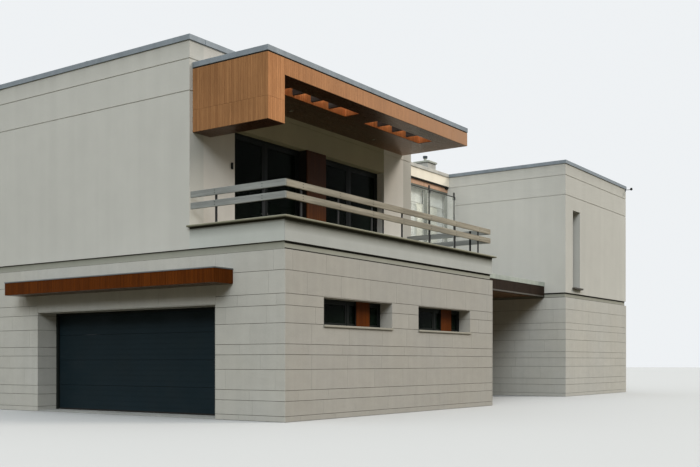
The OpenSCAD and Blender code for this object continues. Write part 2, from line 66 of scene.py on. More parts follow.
# %% Camera
near_corner = Vector((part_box("front_wall_right")[1].x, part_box("front_wall_right")[0].y, 0.0))
eye_from_corner = Vector((11.149, -13.864, 1.12))
turn_left = math.radians(34.92)

camera_data = bpy.data.cameras.new("eye_level")
camera_data.sensor_width = 36.0
camera_data.lens = 49.27
camera_data.shift_y = 0.1836
camera_data.clip_end = 400.0
camera = bpy.data.objects.new("eye_level", camera_data)
camera.location = near_corner + eye_from_corner
camera.rotation_euler = (math.radians(90.0), 0.0, turn_left)
bpy.context.scene.collection.objects.link(camera)
bpy.context.scene.camera = camera
print("camera at", tuple(round(v, 2) for v in camera.location))

# %% [markdown]
# ## Helpers for light and finishes
#
# The sky and the finishes are both trees of nodes. A finish is a few layers of noise over one base colour:
# broad clouds, small patches and fine grain. Each layer only multiplies the colour by a little more or less
# than one, so the base colour stays what was measured. The noise reads Object coordinates, which are metres
# here, so a feature's size can be written as it is in life.

# %% Node helpers


def join(tree, value, socket):
    """Links a socket to a socket, or sets a plain value on it."""
    if isinstance(value, bpy.types.NodeSocket):
        tree.links.new(value, socket)
    elif hasattr(value, "__len__") and len(value) == 3 and socket.type == "RGBA":
        socket.default_value = (*value, 1.0)
    else:
        socket.default_value = value


def add_node(tree, kind, values, output=0, **settings):
    """Adds a node, gives its inputs their values or links, and returns one of its outputs."""
    made = tree.nodes.new("ShaderNode" + kind)
    for key, setting in settings.items():
        setattr(made, key, setting)
    for key, value in values.items():
        join(tree, value, made.inputs[key])
    return made.outputs[output]


def spread(tree, value, low, high, start=0.3, end=0.7):
    """Maps a value that runs from start to end onto low to high."""
    ends = {"From Min": start, "From Max": end, "To Min": low, "To Max": high}
    return add_node(tree, "MapRange", {"Value": value, **ends})


def blend(tree, share, first, second, mode="MIX"):
    """Two colours, mixed or multiplied."""
    return add_node(tree, "Mix", {0: share, 6: first, 7: second}, 2, data_type="RGBA", blend_type=mode)


def compute(tree, operation, first, second):
    """The product of two values, or the larger of them."""
    return add_node(tree, "Math", {0: first, 1: second}, operation=operation)


def place_along(tree, axis, coordinates="Object"):
    """The place along X, Y or Z."""
    return add_node(tree, "SeparateXYZ", {0: add_node(tree, "TexCoord", {}, coordinates)}, axis)


def share_along(tree, axis, low, high):
    """Zero where the place along an axis is low and one where it is high."""
    return spread(tree, place_along(tree, axis), 0.0, 1.0, low, high)


# %% [markdown]
# ## Light
#
# The house stands in soft light that comes mostly from above, as from a wide overhead softbox. The world is
# brighter towards its top, which is what leaves the wall under the canopy deep at its head and lighter at its
# foot, and its low, dim part is warm, as light off dry ground is. Two wide lamps model the faces: a warm one
# on the terrace side and a cool one on the garage front. To the camera and in reflections the world is one
# even, pale backdrop.

# %% World and lamps
low_tint = (1.0, 0.86, 0.42)
high_tint = (0.95, 0.99, 1.0)
backdrop_colour = (0.86, 0.885, 0.905)

world = bpy.data.worlds.new("soft_studio")
world.use_nodes = True
bpy.context.scene.world = world
sky = world.node_tree
sky.nodes.clear()
upward = place_along(sky, "Z", "Generated")
tint = blend(sky, spread(sky, upward, 0.0, 1.0, 0.0, 0.40), low_tint, high_tint)
fill = add_node(sky, "Background", {"Color": tint, "Strength": spread(sky, upward, 0.02, 1.85, 0.16, 1.0)})
backdrop = add_node(sky, "Background", {"Color": backdrop_colour, "Strength": 1.0})
ray = sky.nodes.new("ShaderNodeLightPath").outputs
mirrored = compute(sky, "MAXIMUM", ray["Is Glossy Ray"], ray["Is Transmission Ray"])
seen = compute(sky, "MAXIMUM", ray["Is Camera Ray"], mirrored)
chosen = add_node(sky, "MixShader", {0: seen, 1: fill, 2: backdrop})
join(sky, chosen, sky.nodes.new("ShaderNodeOutputWorld").inputs["Surface"])


def lamp(name, towards, strength, colour, spread_degrees):
    """A wide distant lamp that shines along towards."""
    data = bpy.data.lights.new(name, "SUN")
    data.energy = strength
    data.color = colour
    data.angle = math.radians(spread_degrees)
    made = bpy.data.objects.new(name, data)
    made.rotation_mode = "QUATERNION"
    made.rotation_quaternion = Vector(towards).to_track_quat("-Z", "Y")
    bpy.context.scene.collection.objects.link(made)


lamp("warm_side", (-1.0, -0.78, -0.95), 1.50, (1.0, 0.92, 0.82), 20.0)
lamp("cool_front", (-0.50, 1.0, -0.62), 1.42, (0.89, 0.96, 1.0), 24.0)
print("world and two lamps made")

# %% [markdown]
# ## Patterns
#
# Every finish is put together from the same few patterns: noise with so many features to the metre, the tone
# that a tile or a board carries, and fine relief. Each tile or board reads its own part of the noise, so a
# pattern never runs on over a joint.

# %% Pattern helpers
jump_per_axis = (37.0, 91.0, 53.0)


def speckle(tree, per_metre, detail=2.0, stretch=(1.0, 1.0, 1.0), jump=None):
    """Noise with about this many features to the metre, stretched per axis and moved by a jump."""
    spot = add_node(tree, "TexCoord", {}, "Object")
    if jump is not None:
        spot = add_node(tree, "VectorMath", {0: jump, 1: jump_per_axis, 2: spot}, operation="MULTIPLY_ADD")
    spot = add_node(tree, "Mapping", {"Vector": spot, "Scale": stretch})
    return add_node(tree, "TexNoise", {"Vector": spot, "Scale": per_metre, "Detail": detail}, "Fac")


def tone_of_piece(tree):
    """The tone that each tile or board carries on its faces."""
    return add_node(tree, "Attribute", {}, "Fac", attribute_name="tone")


def times(tree, colour, value):
    """A colour made lighter or darker by a value."""
    return blend(tree, 1.0, colour, value, "MULTIPLY")


def vary(tree, colour, pattern, low, high, start=0.3, end=0.7):
    """A colour made darker and lighter by a pattern."""
    return times(tree, colour, spread(tree, pattern, low, high, start, end))


def start_material(name, roughness, metallic=0.0):
    """A new material, its node tree and its shader."""
    made = bpy.data.materials.new(name)
    made.use_nodes = True
    shader = made.node_tree.nodes["Principled BSDF"]
    shader.inputs["Roughness"].default_value = roughness
    shader.inputs["Metallic"].default_value = metallic
    return made, made.node_tree, shader


def end_material(tree, shader, colour, height, millimetres, strength):
    """Gives a shader its colour, and fine relief from a height."""
    bump = {"Strength": strength, "Distance": millimetres / 1000.0, "Height": height}
    join(tree, colour, shader.inputs["Base Color"])
    join(tree, add_node(tree, "Bump", bump), shader.inputs["Normal"])


# %% [markdown]
# ## Plaster
#
# The upper storey has fine floated mineral plaster. From afar it reads as one pale grey-beige, but it has
# broad clouds from drying, faint upright streaks where rain runs off the coping, and a grain of about a
# millimetre. Below a coping the dust collects, so each plaster takes a band that darkens upwards; on the
# terrace parapet that band is partly green stain and partly painted shadow of the coping. Some faces carry
# painted light and shade: the piers of the terrace wall are a lighter copy of the wall plaster and the last
# pier turns paler still, as painted light; the lintel is a darker, yellower copy below the canopy, as painted
# shade; and the long side of the parapet is greyer, with a darker band under its coping, as painted shade.
# There the base colour drifts to a second one along an axis, and the darkening can grow with it.

# %% Plaster


def plaster(name, colour, stain_and_shade_low, stain_and_shade_high, stain_and_shade_share, stain_and_shade_colour=(0.25, 0.24, 0.20),
            stain_and_shade_least=0.3, drift=None):
    """Floated plaster with rain streaks and a darkening that grows towards its top height: a stain, and on the
    parapet partly painted shadow. A drift is an axis, its start and end along it, the colour at its end, and how
    many times more darkening there is at its end."""
    made, tree, shader = start_material(name, 0.88)
    if drift is not None:
        axis, start, end, drift_colour, more_darkening = drift
        drifted = share_along(tree, axis, start, end)
        colour = blend(tree, drifted, colour, drift_colour)
    colour = vary(tree, colour, speckle(tree, 0.28, 3.0), 0.95, 1.05)
    colour = vary(tree, colour, speckle(tree, 2.1, 4.0), 0.98, 1.02)
    streaks = speckle(tree, 1.0, 4.0, (3.4, 3.4, 0.10))
    colour = vary(tree, colour, streaks, 0.965, 1.02)
    grain = speckle(tree, 420.0, 2.0)
    colour = vary(tree, colour, grain, 0.95, 1.05)
    patchy = spread(tree, streaks, stain_and_shade_least, stain_and_shade_share)
    stain_and_shade = compute(tree, "MULTIPLY", share_along(tree, "Z", stain_and_shade_low, stain_and_shade_high), patchy)
    if drift is not None:
        stain_and_shade = compute(tree, "MULTIPLY", stain_and_shade, spread(tree, drifted, 1.0, more_darkening, 0.0, 1.0))
    end_material(tree, shader, blend(tree, stain_and_shade, colour, stain_and_shade_colour), grain, 1.2, 0.35)
    return made


parapet_low, parapet_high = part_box("terrace_parapet")
body_low, body_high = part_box("canopy_body")
wall_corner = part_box("terrace_wall_piers")[1]
wall_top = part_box("upper_front_wall")[1].z
band_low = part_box("front_wall_right")[1].z
band_high = parapet_low.z
wall_colour = (0.545, 0.53, 0.485)
wall_stain = (wall_top - 0.30, wall_top, 0.14)
upper_plaster = plaster("upper_plaster", wall_colour, *wall_stain)
# Painted light: the piers are a lighter copy of the wall plaster, and the last pier turns paler still towards
# the rear.
pier_plaster_painted_light = plaster("pier_plaster_painted_light", (0.61, 0.575, 0.525), *wall_stain,
                       drift=("Y", wall_corner.y - 1.4, wall_corner.y - 0.9, (0.74, 0.71, 0.66), 1.0))
# Painted shade: below the canopy's top the lintel is a darker, yellower copy of the wall plaster, and above it
# has the wall colour.
lintel_plaster_painted_shade = plaster("lintel_plaster_painted_shade", (0.40, 0.365, 0.255), *wall_stain,
                         drift=("Z", body_high.z - 0.10, body_high.z, wall_colour, 1.0))
# Painted shade: the long side of the parapet is greyer, with more darkening under its coping, and the dark band
# under the coping is partly green stain and partly painted shadow.
painted_shade_on_long_side = ("X", parapet_high.x - 0.03, parapet_high.x - 0.005, (0.44, 0.445, 0.42), 1.8)
parapet_plaster = plaster("parapet_plaster", (0.52, 0.53, 0.49), parapet_high.z - 0.24, parapet_high.z + 0.02,
                          0.60, (0.06, 0.06, 0.03), 0.45, painted_shade_on_long_side)
band_plaster = plaster("band_plaster", (0.34, 0.335, 0.285), band_low, band_high, 0.25, (0.12, 0.13, 0.07))
cream_plaster = plaster("cream_plaster", (0.96, 0.87, 0.72), wall_top - 0.10, wall_top, 0.10)
print("plasters made, wall top at", round(wall_top, 3))

# %% [markdown]
# ## Stone and mortar
#
# The ground storey is faced with honed limestone. No two tiles have quite the same tone, so each tile's faces
# carry a random value that shifts its colour and moves it to its own part of the pattern. Small dark pores
# and soft clouds do the rest. The mortar behind is darker and only shows in the joints.

# %% Stone


def limestone(name, colour, tile_contrast):
    """Honed stone whose tiles differ a little in tone."""
    made, tree, shader = start_material(name, 0.7)
    tone = tone_of_piece(tree)
    colour = vary(tree, colour, tone, 1.0 - tile_contrast, 1.0 + tile_contrast, 0.0, 1.0)
    colour = vary(tree, colour, speckle(tree, 3.0, 5.0, (1.0, 1.0, 1.6), tone), 0.965, 1.03)
    colour = vary(tree, colour, speckle(tree, 1.0, 3.0, (6.0, 6.0, 0.25)), 0.96, 1.02)
    warm = spread(tree, speckle(tree, 0.5, 2.0), 0.0, 0.35)
    colour = blend(tree, warm, colour, times(tree, colour, (1.04, 0.99, 0.90)))
    pores = speckle(tree, 140.0, 3.0, jump=tone)
    colour = vary(tree, colour, pores, 0.86, 1.03, 0.30, 0.48)
    join(tree, spread(tree, pores, 0.85, 0.62), shader.inputs["Roughness"])
    end_material(tree, shader, colour, pores, 1.0, 0.3)
    return made


def mortar(name, colour):
    """Sanded joint filler, also the face of the masonry where no tile covers it."""
    made, tree, shader = start_material(name, 0.95)
    sand = speckle(tree, 500.0, 2.0)
    colour = vary(tree, colour, sand, 0.8, 1.15)
    colour = vary(tree, colour, speckle(tree, 1.3, 3.0), 0.88, 1.1)
    end_material(tree, shader, colour, sand, 1.0, 0.5)
    return made


wall_stone = limestone("wall_stone", (0.475, 0.462, 0.425), 0.022)
# Painted shade: the side wall's stone is a darker, warmer copy of the wall stone.
warm_stone_painted_shade = limestone("warm_stone_painted_shade", (0.375, 0.357, 0.325), 0.022)
# Painted shade: the stone under the entrance canopy is a darker, yellower copy of the wall stone.
porch_stone_painted_shade = limestone("porch_stone_painted_shade", (0.405, 0.38, 0.31), 0.022)
floor_stone = limestone("floor_stone", (0.15, 0.13, 0.07), 0.08)
joint_mortar = mortar("joint_mortar", (0.15, 0.14, 0.115))
plain_concrete = mortar("plain_concrete", (0.34, 0.34, 0.32))
print("stones made")

# %% [markdown]
# The slabs on the terrace parapet are the same stone. It darkens from the top of the slab to its bottom.

# %% Coping slabs
slab_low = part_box("terrace_coping")[0].z
slab_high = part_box("terrace_coping")[1].z
# Painted shadow: a near-black stone for the strips under the coping slabs.
painted_shadow_stone = mortar("painted_shadow_stone", (0.030, 0.029, 0.016))
coping_stone, tree, shader = start_material("coping_stone", 0.8)
slab_patches = spread(tree, speckle(tree, 2.5, 4.0), 0.75, 1.0)
top_share = compute(tree, "MULTIPLY", share_along(tree, "Z", slab_low, slab_high), slab_patches)
slab_colour = blend(tree, top_share, (0.065, 0.058, 0.026), (0.37, 0.36, 0.27))
slab_pores = speckle(tree, 140.0, 3.0)
end_material(tree, shader, vary(tree, slab_colour, slab_pores, 0.86, 1.03, 0.30, 0.48), slab_pores, 1.0, 0.3)
print("coping slabs from", round(slab_low, 3), "to", round(slab_high, 3))

# %% [markdown]
# ## Wood
#
# The canopies are clad in narrow upright battens. Wood grain is noise stretched along the board: a coarse
# layer for the bands and a fine one for the fibres. A board's own tone jumps it to another part of the
# pattern, so the grain never runs on into its neighbour. The boards of the railing are the same wood,
# bleached grey, in a warmer copy on the side and a cooler one across the front, as painted light. The
# canopy's front battens are a darker copy and its side battens a lighter one, as painted shade and light;
# the slot walls are a bright copy, as painted light, and the fins and the soffit dark ones, as painted
# shade. The side battens and the soffit pale towards the canopy's rear end, as painted light, and the pier
# between the doors darkens to near black at its head, as painted shade, so there the colour drifts to a
# second one along an axis.

# %% Wood


def wood(name, light, dark, along, roughness, board_contrast, weathering=0.0, gloss=0.06, drift=None):
    """Wood whose grain runs along one axis. A drift is an axis, where it starts and ends along it, a far
    colour and its share."""
    made, tree, shader = start_material(name, roughness)
    shader.inputs["Specular IOR Level"].default_value = gloss
    tone = tone_of_piece(tree)
    fine = [1.0, 1.0, 1.0]
    fine["XYZ".index(along)] = 0.035
    bands = speckle(tree, 16.0, 3.0, fine, tone)
    fibres = speckle(tree, 160.0, 3.0, fine, tone)
    colour = blend(tree, spread(tree, bands, 0.0, 1.0, 0.34, 0.66), light, dark)
    colour = vary(tree, colour, fibres, 0.82, 1.12)
    colour = vary(tree, colour, tone, 1.0 - board_contrast, 1.0 + board_contrast, 0.0, 1.0)
    colour = vary(tree, colour, speckle(tree, 0.9, 3.0), 0.90, 1.08)
    if weathering:
        patches = spread(tree, speckle(tree, 5.0, 5.0, fine), 0.0, weathering, 0.45, 0.75)
        colour = blend(tree, patches, colour, (0.16, 0.16, 0.14))
    if drift is not None:
        axis, start, end, far_colour, most = drift
        share = compute(tree, "MULTIPLY", share_along(tree, axis, start, end), most)
        colour = blend(tree, share, colour, vary(tree, far_colour, bands, 0.85, 1.1))
    join(tree, spread(tree, fibres, roughness - 0.08, roughness + 0.12), shader.inputs["Roughness"])
    end_material(tree, shader, colour, fibres, 1.0, 0.4)
    return made


leg_low, leg_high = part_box("canopy_leg")
deck_low, deck_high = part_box("terrace_paving")
# Painted shade and light: the canopy's front battens are a darker copy of the wood and its side battens a
# lighter one, which pales further towards the rear end.
front_battens_painted_shade = wood("front_battens_painted_shade", (0.375, 0.182, 0.076), (0.285, 0.132, 0.054), "Z", 0.55, 0.05)
side_battens_painted_light = wood("side_battens_painted_light", (0.54, 0.250, 0.108), (0.44, 0.195, 0.080), "Z", 0.55, 0.04,
                      drift=("Y", leg_low.y, body_high.y, (0.46, 0.30, 0.21), 0.6))
# Painted shade: the pier's battens darken to near black towards its head.
red_battens_painted_shade = wood("red_battens_painted_shade", (0.185, 0.058, 0.013), (0.120, 0.034, 0.008), "Z", 0.5, 0.08,
                   drift=("Z", deck_high.z + 0.6, deck_high.z + 1.8, (0.022, 0.012, 0.009), 0.72))
shaded_battens = wood("shaded_battens", (0.118, 0.029, 0.0030), (0.080, 0.019, 0.002), "Z", 0.5, 0.08,
                      gloss=0.04)
pale_battens = wood("pale_battens", (0.66, 0.42, 0.29), (0.56, 0.34, 0.22), "Z", 0.5, 0.05)
dark_battens = wood("dark_battens", (0.030, 0.018, 0.011), (0.018, 0.010, 0.006), "Z", 0.5, 0.12)
# Painted shade: the fins are a dark grey copy of the canopy wood.
fin_boards_painted_shade = wood("fin_boards_painted_shade", (0.085, 0.075, 0.068), (0.050, 0.042, 0.038), "X", 0.5, 0.10)
# Painted light: the slot walls are a bright copy of the canopy wood.
slot_battens_painted_light = wood("slot_battens_painted_light", (0.70, 0.25, 0.085), (0.52, 0.17, 0.055), "Z", 0.5, 0.06)
# Painted shade: the soffit boards are darkened to near black; from two metres before the terrace canopy's rear
# end onwards they pale, as painted light.
soffit_boards_painted_shade_and_light = wood("soffit_boards_painted_shade_and_light", (0.055, 0.018, 0.009), (0.032, 0.010, 0.005), "Y", 0.30, 0.14,
                     gloss=1.0, drift=("Y", body_high.y - 2.0, body_high.y, (0.30, 0.14, 0.065), 0.7))
varnish = soffit_boards_painted_shade_and_light.node_tree.nodes["Principled BSDF"]
varnish.inputs["Specular Tint"].default_value = (1.0, 0.62, 0.36, 1.0)
# Painted light: the side boards of the railing are a warmer copy of the grey wood and the cross boards a cooler
# one.
grey_boards_y_warm_painted_light = wood("grey_boards_y_warm_painted_light", (0.41, 0.365, 0.29), (0.25, 0.22, 0.17), "Y", 0.75, 0.05, 0.45)
grey_boards_x_cool_painted_light = wood("grey_boards_x_cool_painted_light", (0.34, 0.35, 0.33), (0.24, 0.245, 0.235), "X", 0.75, 0.05, 0.45)
print("woods made")

# %% [markdown]
# ## Metal, paint, glass and cloth
#
# The copings are folded zinc-grey sheet with a soft sheen and faint blotches. The garage door, frames, posts
# and trims are painted, so they are not metallic, but paint still has orange-peel relief and dust. Glass is a
# smooth sheet that lets some of what is behind it through and takes its look from what it reflects. Cloth is
# woven, so its noise is stretched into threads both ways.

# %% Metal, paint, glass and cloth


def sheet_metal(name, colour, roughness, metallic):
    """Weathered sheet with faint blotches and drip marks."""
    made, tree, shader = start_material(name, roughness, metallic)
    blotches = speckle(tree, 2.6, 5.0)
    colour = vary(tree, colour, blotches, 0.88, 1.12)
    colour = vary(tree, colour, speckle(tree, 1.0, 3.0, (9.0, 9.0, 0.6)), 0.92, 1.06)
    join(tree, spread(tree, blotches, roughness - 0.08, roughness + 0.12), shader.inputs["Roughness"])
    end_material(tree, shader, colour, blotches, 1.5, 0.15)
    return made


def paint(name, colour, roughness, dust, gloss=0.25):
    """Satin paint with fine relief and a little dust."""
    made, tree, shader = start_material(name, roughness)
    shader.inputs["Specular IOR Level"].default_value = gloss
    dusty = spread(tree, speckle(tree, 1.7, 5.0), 0.0, dust, 0.4, 0.7)
    colour = vary(tree, colour, speckle(tree, 0.8, 3.0), 0.9, 1.1)
    colour = blend(tree, dusty, colour, (0.14, 0.135, 0.12))
    join(tree, spread(tree, dusty, roughness, roughness + 0.25, 0.0, dust), shader.inputs["Roughness"])
    end_material(tree, shader, colour, speckle(tree, 260.0, 2.0), 0.5, 0.2)
    return made


def glass(name, colour, see_through, level):
    """A smooth sheet of glazing with a faint film of dust."""
    made, tree, shader = start_material(name, 0.03)
    film = speckle(tree, 1.4, 5.0, (1.0, 1.0, 0.4))
    join(tree, vary(tree, colour, film, 0.4, 1.6), shader.inputs["Base Color"])
    join(tree, spread(tree, film, 0.03, 0.08), shader.inputs["Roughness"])
    shader.inputs["Alpha"].default_value = 1.0 - see_through
    shader.inputs["Specular IOR Level"].default_value = level
    return made


def woven_cloth(name, colour):
    """Plain woven cloth: fine threads up and across, and faint clouds."""
    made, tree, shader = start_material(name, 0.9)
    upright = speckle(tree, 260.0, 2.0, (1.0, 1.0, 0.03))
    colour = vary(tree, colour, upright, 0.90, 1.05)
    colour = vary(tree, colour, speckle(tree, 260.0, 2.0, (0.03, 0.03, 1.0)), 0.94, 1.04)
    colour = vary(tree, colour, speckle(tree, 0.6, 2.0), 0.96, 1.03)
    end_material(tree, shader, colour, upright, 0.6, 0.4)
    return made


zinc = sheet_metal("zinc", (0.22, 0.25, 0.275), 0.42, 0.35)
pale_sheet = sheet_metal("pale_sheet", (0.40, 0.43, 0.38), 0.5, 0.2)
drip_sheet = sheet_metal("drip_sheet", (0.09, 0.080, 0.065), 0.5, 0.2)
bright_sheet = sheet_metal("bright_sheet", (0.52, 0.50, 0.45), 0.5, 0.2)
dull_sheet = sheet_metal("dull_sheet", (0.16, 0.165, 0.165), 0.55, 0.2)
door_paint = paint("door_paint", (0.0085, 0.0170, 0.0215), 0.5, 0.04, 0.08)
frame_paint = paint("frame_paint", (0.008, 0.010, 0.009), 0.45, 0.03, 0.08)
post_paint = paint("post_paint", (0.012, 0.012, 0.012), 0.45, 0.05)
sill_paint = paint("sill_paint", (0.055, 0.045, 0.036), 0.5, 0.15)
pale_sill = limestone("pale_sill", (0.33, 0.31, 0.26), 0.05)
steel_paint = paint("steel_paint", (0.06, 0.06, 0.055), 0.35, 0.05)
lamp_glass = paint("lamp_glass", (0.55, 0.53, 0.48), 0.25, 0.02)
cream_cloth = woven_cloth("cream_cloth", (0.93, 0.91, 0.78))
grey_cloth = woven_cloth("grey_cloth", (0.90, 0.90, 0.84))
shadow_gap = paint("shadow_gap", (0.016, 0.014, 0.012), 0.9, 0.03)
link_paint = paint("link_paint", (0.16, 0.17, 0.145), 0.4, 0.10)
roof_sheet = mortar("roof_sheet", (0.115, 0.118, 0.122))
dark_glazing = glass("dark_glazing", (0.005, 0.009, 0.006), 0.25, 0.014)
link_glazing = glass("link_glazing", (0.70, 0.74, 0.66), 0.93, 0.4)
clear_glazing = glass("clear_glazing", (0.70, 0.74, 0.68), 0.88, 0.5)
print("metals, paints, glass and cloth made")

# %% [markdown]
# The chimney's hat of cast concrete and the dark sheet-metal cowl on it are one node of the frame. Its finish
# changes from the one to the other at the height where the cowl starts.

# %% Chimney hat and cowl
cowl_height = 0.085
cowl_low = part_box("chimney_cap")[1].z - cowl_height
cap_finish, tree, shader = start_material("cap_finish", 0.8)
is_cowl = share_along(tree, "Z", cowl_low, cowl_low + 0.004)
hat_grain = speckle(tree, 60.0, 4.0)
hat_colour = vary(tree, (0.40, 0.41, 0.35), hat_grain, 0.85, 1.1)
end_material(tree, shader, blend(tree, is_cowl, hat_colour, (0.035, 0.05, 0.06)), hat_grain, 1.5, 0.4)
print("cowl from", round(cowl_low, 3))

# %% [markdown]
# ## Helpers for shapes
#
# Most pieces are laid on a flat face of the house. A face is described by its lower corner and by the
# directions across and up it as seen from outside, and everything on it is drawn flat, in metres, before it
# is put in place. The solids of one node can be told apart by walking over their edges, which gives each
# frame, pane or sill.

# %% Shape helpers
chance = random.Random(7)
X = Vector((1.0, 0.0, 0.0))
Y = Vector((0.0, 1.0, 0.0))
Z = Vector((0.0, 0.0, 1.0))


def finish_piece(name, bm, material):
    """Turns a bmesh into a piece of the house with the given material."""
    mesh = bpy.data.meshes.new(name)
    bm.to_mesh(mesh)
    bm.free()
    mesh.materials.append(material)
    piece = bpy.data.objects.new(name, mesh)
    bpy.context.scene.collection.objects.link(piece)
    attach(piece, "root")
    print(name, "has", len(mesh.polygons), "faces")
    return piece


def ease(bm, edges, offset, segments):
    """Takes the sharpness off some edges."""
    bmesh.ops.bevel(bm, geom=edges, offset=offset, offset_type="OFFSET", segments=segments, profile=0.5,
                    affect="EDGES", clamp_overlap=True, material=-1)


def sharp_edges(bm):
    """The edges where two faces meet at a clear angle."""
    return [e for e in bm.edges if len(e.link_faces) == 2 and e.calc_face_angle() > 0.5]


def face_place(corner, across, up):
    """Puts a flat drawing on a face: x runs across it, y up it and z out of it."""
    place = Matrix((across, up, across.cross(up))).transposed().to_4x4()
    place.translation = corner
    return place


def lay(bm, place, slabs, proud, arris):
    """Lays flat slabs (left, right, low, high) on a face. Their front edges are eased by arris."""
    tone = bm.faces.layers.float.get("tone") or bm.faces.layers.float.new("tone")
    corner = place.translation
    out = place.to_3x3().col[2]
    fronts = []
    backs = []
    for left, right, low, high in slabs:
        middle = Matrix.Translation(((left + right) / 2, (low + high) / 2, proud / 2))
        size = Matrix.Diagonal((right - left, high - low, proud, 1.0))
        verts = bmesh.ops.create_cube(bm, size=1.0, matrix=place @ middle @ size)["verts"]
        shade = chance.random()
        raised = {v for v in verts if (v.co - corner).dot(out) > proud / 2}
        for face in {f for v in verts for f in v.link_faces}:
            face[tone] = shade
            if not raised.intersection(face.verts):
                backs.append(face)
        fronts += [e for e in {e for v in raised for e in v.link_edges} if raised.issuperset(e.verts)]
    bmesh.ops.delete(bm, geom=backs, context="FACES_ONLY")
    fronts.sort(key=lambda edge: tuple(edge.verts[0].co) + tuple(edge.verts[1].co))
    ease(bm, fronts, arris, 1)


def add_box(bm, low, high, arris):
    """A box between two corners, its edges eased."""
    low = Vector(low)
    high = Vector(high)
    place = Matrix.Translation((low + high) / 2) @ Matrix.Diagonal((*(high - low), 1.0))
    verts = bmesh.ops.create_cube(bm, size=1.0, matrix=place)["verts"]
    ease(bm, list(dict.fromkeys(e for v in verts for e in v.link_edges)), arris, 2)


def box_piece(name, material, arris, boxes):
    """A piece of separate boxes, each given by its lowest and its highest corner."""
    made = bmesh.new()
    for low, high in boxes:
        add_box(made, low, high, arris)
    finish_piece(name, made, material)


def islands(bm):
    """The separate solids of a bmesh, as lists of vertices in a fixed order."""
    found = []
    met = set()
    for start in bm.verts:
        if start in met:
            continue
        met.add(start)
        queue = [start]
        for vert in queue:
            for edge in vert.link_edges:
                other = edge.other_vert(vert)
                if other not in met:
                    met.add(other)
                    queue.append(other)
        found.append(queue)
    return found


def box_of(verts):
    """Lowest and highest corner of some vertices."""
    low = Vector(min(v.co[k] for v in verts) for k in range(3))
    high = Vector(max(v.co[k] for v in verts) for k in range(3))
    return low, high


def merged_copy(node):
    """A bmesh of a node's solids with their shared corners merged and flat faces whole."""
    bm = bmesh.new()
    bm.from_mesh(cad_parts[node].data)
    bmesh.ops.remove_doubles(bm, verts=bm.verts, dist=1e-5)
    bmesh.ops.dissolve_limit(bm, angle_limit=0.01, verts=bm.verts, edges=bm.edges)
    return bm


def solids(node):
    """The boxes of a node's separate solids, from left to right, front to back and bottom to top."""
    bm = merged_copy(node)
    boxes = [box_of(verts) for verts in islands(bm)]
    bm.free()
    return sorted(boxes, key=lambda box: tuple(box[0]))


frames = solids("window_frames")
panes = solids("window_glass")
sills = solids("window_sills")
print("frames:", len(frames), "panes:", len(panes), "sills:", len(sills))

# %% [markdown]
# ## Stone cladding
#
# The tiles lie in courses that line up with the window sills and heads and run round the corners. Below the
# sill three heights repeat: tall, low and middle. Lengths vary, as they do when a mason lays stone from a
# mixed pallet. Each tile is a thin box with eased edges that stands proud of the masonry, so the joints are
# real grooves. Courses are cut at the openings, and the reveals are tiled to the depth of the frames.

# %% Courses
tile_proud = 0.012
bed_joint = 0.008
side_joint = 0.003
tile_arris = 0.0015
tile_length = (0.95, 1.28)
shortest_tile = 0.20
course_trio = (0.392, 0.200, 0.280)
sill_z = min(high.z for low, high in sills)
head_z = max(high.z for low, high in frames if low.z < band_low)


def course_lines():
    """Heights of the bed joints from the floor line to the top of the ground storey."""
    lines = [sill_z]
    step = 0
    while lines[0] > course_trio[step % 3]:
        lines.insert(0, lines[0] - course_trio[step % 3])
        step += 1
    lines.insert(0, 0.0)
    middle = sill_z + (head_z - sill_z) * 0.6
    above = head_z + (band_low - head_z) * 0.53
    return lines + [middle, head_z, above, band_low]


def free_spans(width, holes):
    """The stretches of a course between its openings."""
    spans = []
    start = 0.0
    for left, right in sorted(holes):
        if left > start:
            spans.append((start, left))
        start = max(start, right)
    if start < width:
        spans.append((start, width))
    return spans


def coursed_tiles(width, lines, holes):
    """Tiles (left, right, low, high) for a face of this width, cut round its openings."""
    tiles = []
    for low, high in zip(lines, lines[1:]):
        cuts = [chance.uniform(0.2, tile_length[1])]
        while cuts[-1] < width:
            cuts.append(cuts[-1] + chance.uniform(*tile_length))
        crossed = [(h[0], h[1]) for h in holes if h[2] < high - 0.01 and h[3] > low + 0.01]
        for left, right in free_spans(width, crossed):
            inner = [c for c in cuts if left + shortest_tile < c < right - shortest_tile]
            ends = [left, *inner, right]
            for a, b in zip(ends, ends[1:]):
                tiles.append((a + side_joint / 2, b - side_joint / 2, low + bed_joint / 2, high - bed_joint / 2))
    return tiles


def clipped(lines, low, high):
    """The course lines between two heights, with those heights as the ends."""
    return [low] + [z for z in lines if low + 0.05 < z < high - 0.05] + [high]


courses = course_lines()
print("bed joints at", [round(z, 3) for z in courses])

# %% [markdown]
# A wall and its reveals are tiled by the same function. In the wall's own drawing an opening is a rectangle.
# Its jambs run from the tile faces back to the frame, and its head is one row of tiles seen from below.

# %% Tile a wall


def tile_face(bm, corner, across, up, width, lines, holes=()):
    """Tiles one flat face."""
    lay(bm, face_place(corner, across, up), coursed_tiles(width, lines, holes), tile_proud, tile_arris)


def tile_wall(bm, corner, across, width, openings=()):
    """Tiles one wall. An opening is (left, right, low, high, depth) in the wall's own drawing."""
    out = across.cross(Z)
    tile_face(bm, corner, across, Z, width, courses, openings)
    for left, right, low, high, depth in openings:
        reveal = depth + tile_proud
        jamb = clipped(courses, low, high)
        tile_face(bm, corner + across * left + out * tile_proud, -out, Z, reveal, jamb)
        tile_face(bm, corner + across * right - out * depth, out, Z, reveal, jamb)
        head = corner + across * left - out * depth + Z * high
        tile_face(bm, head, across, out, right - left, [0.0, reveal])


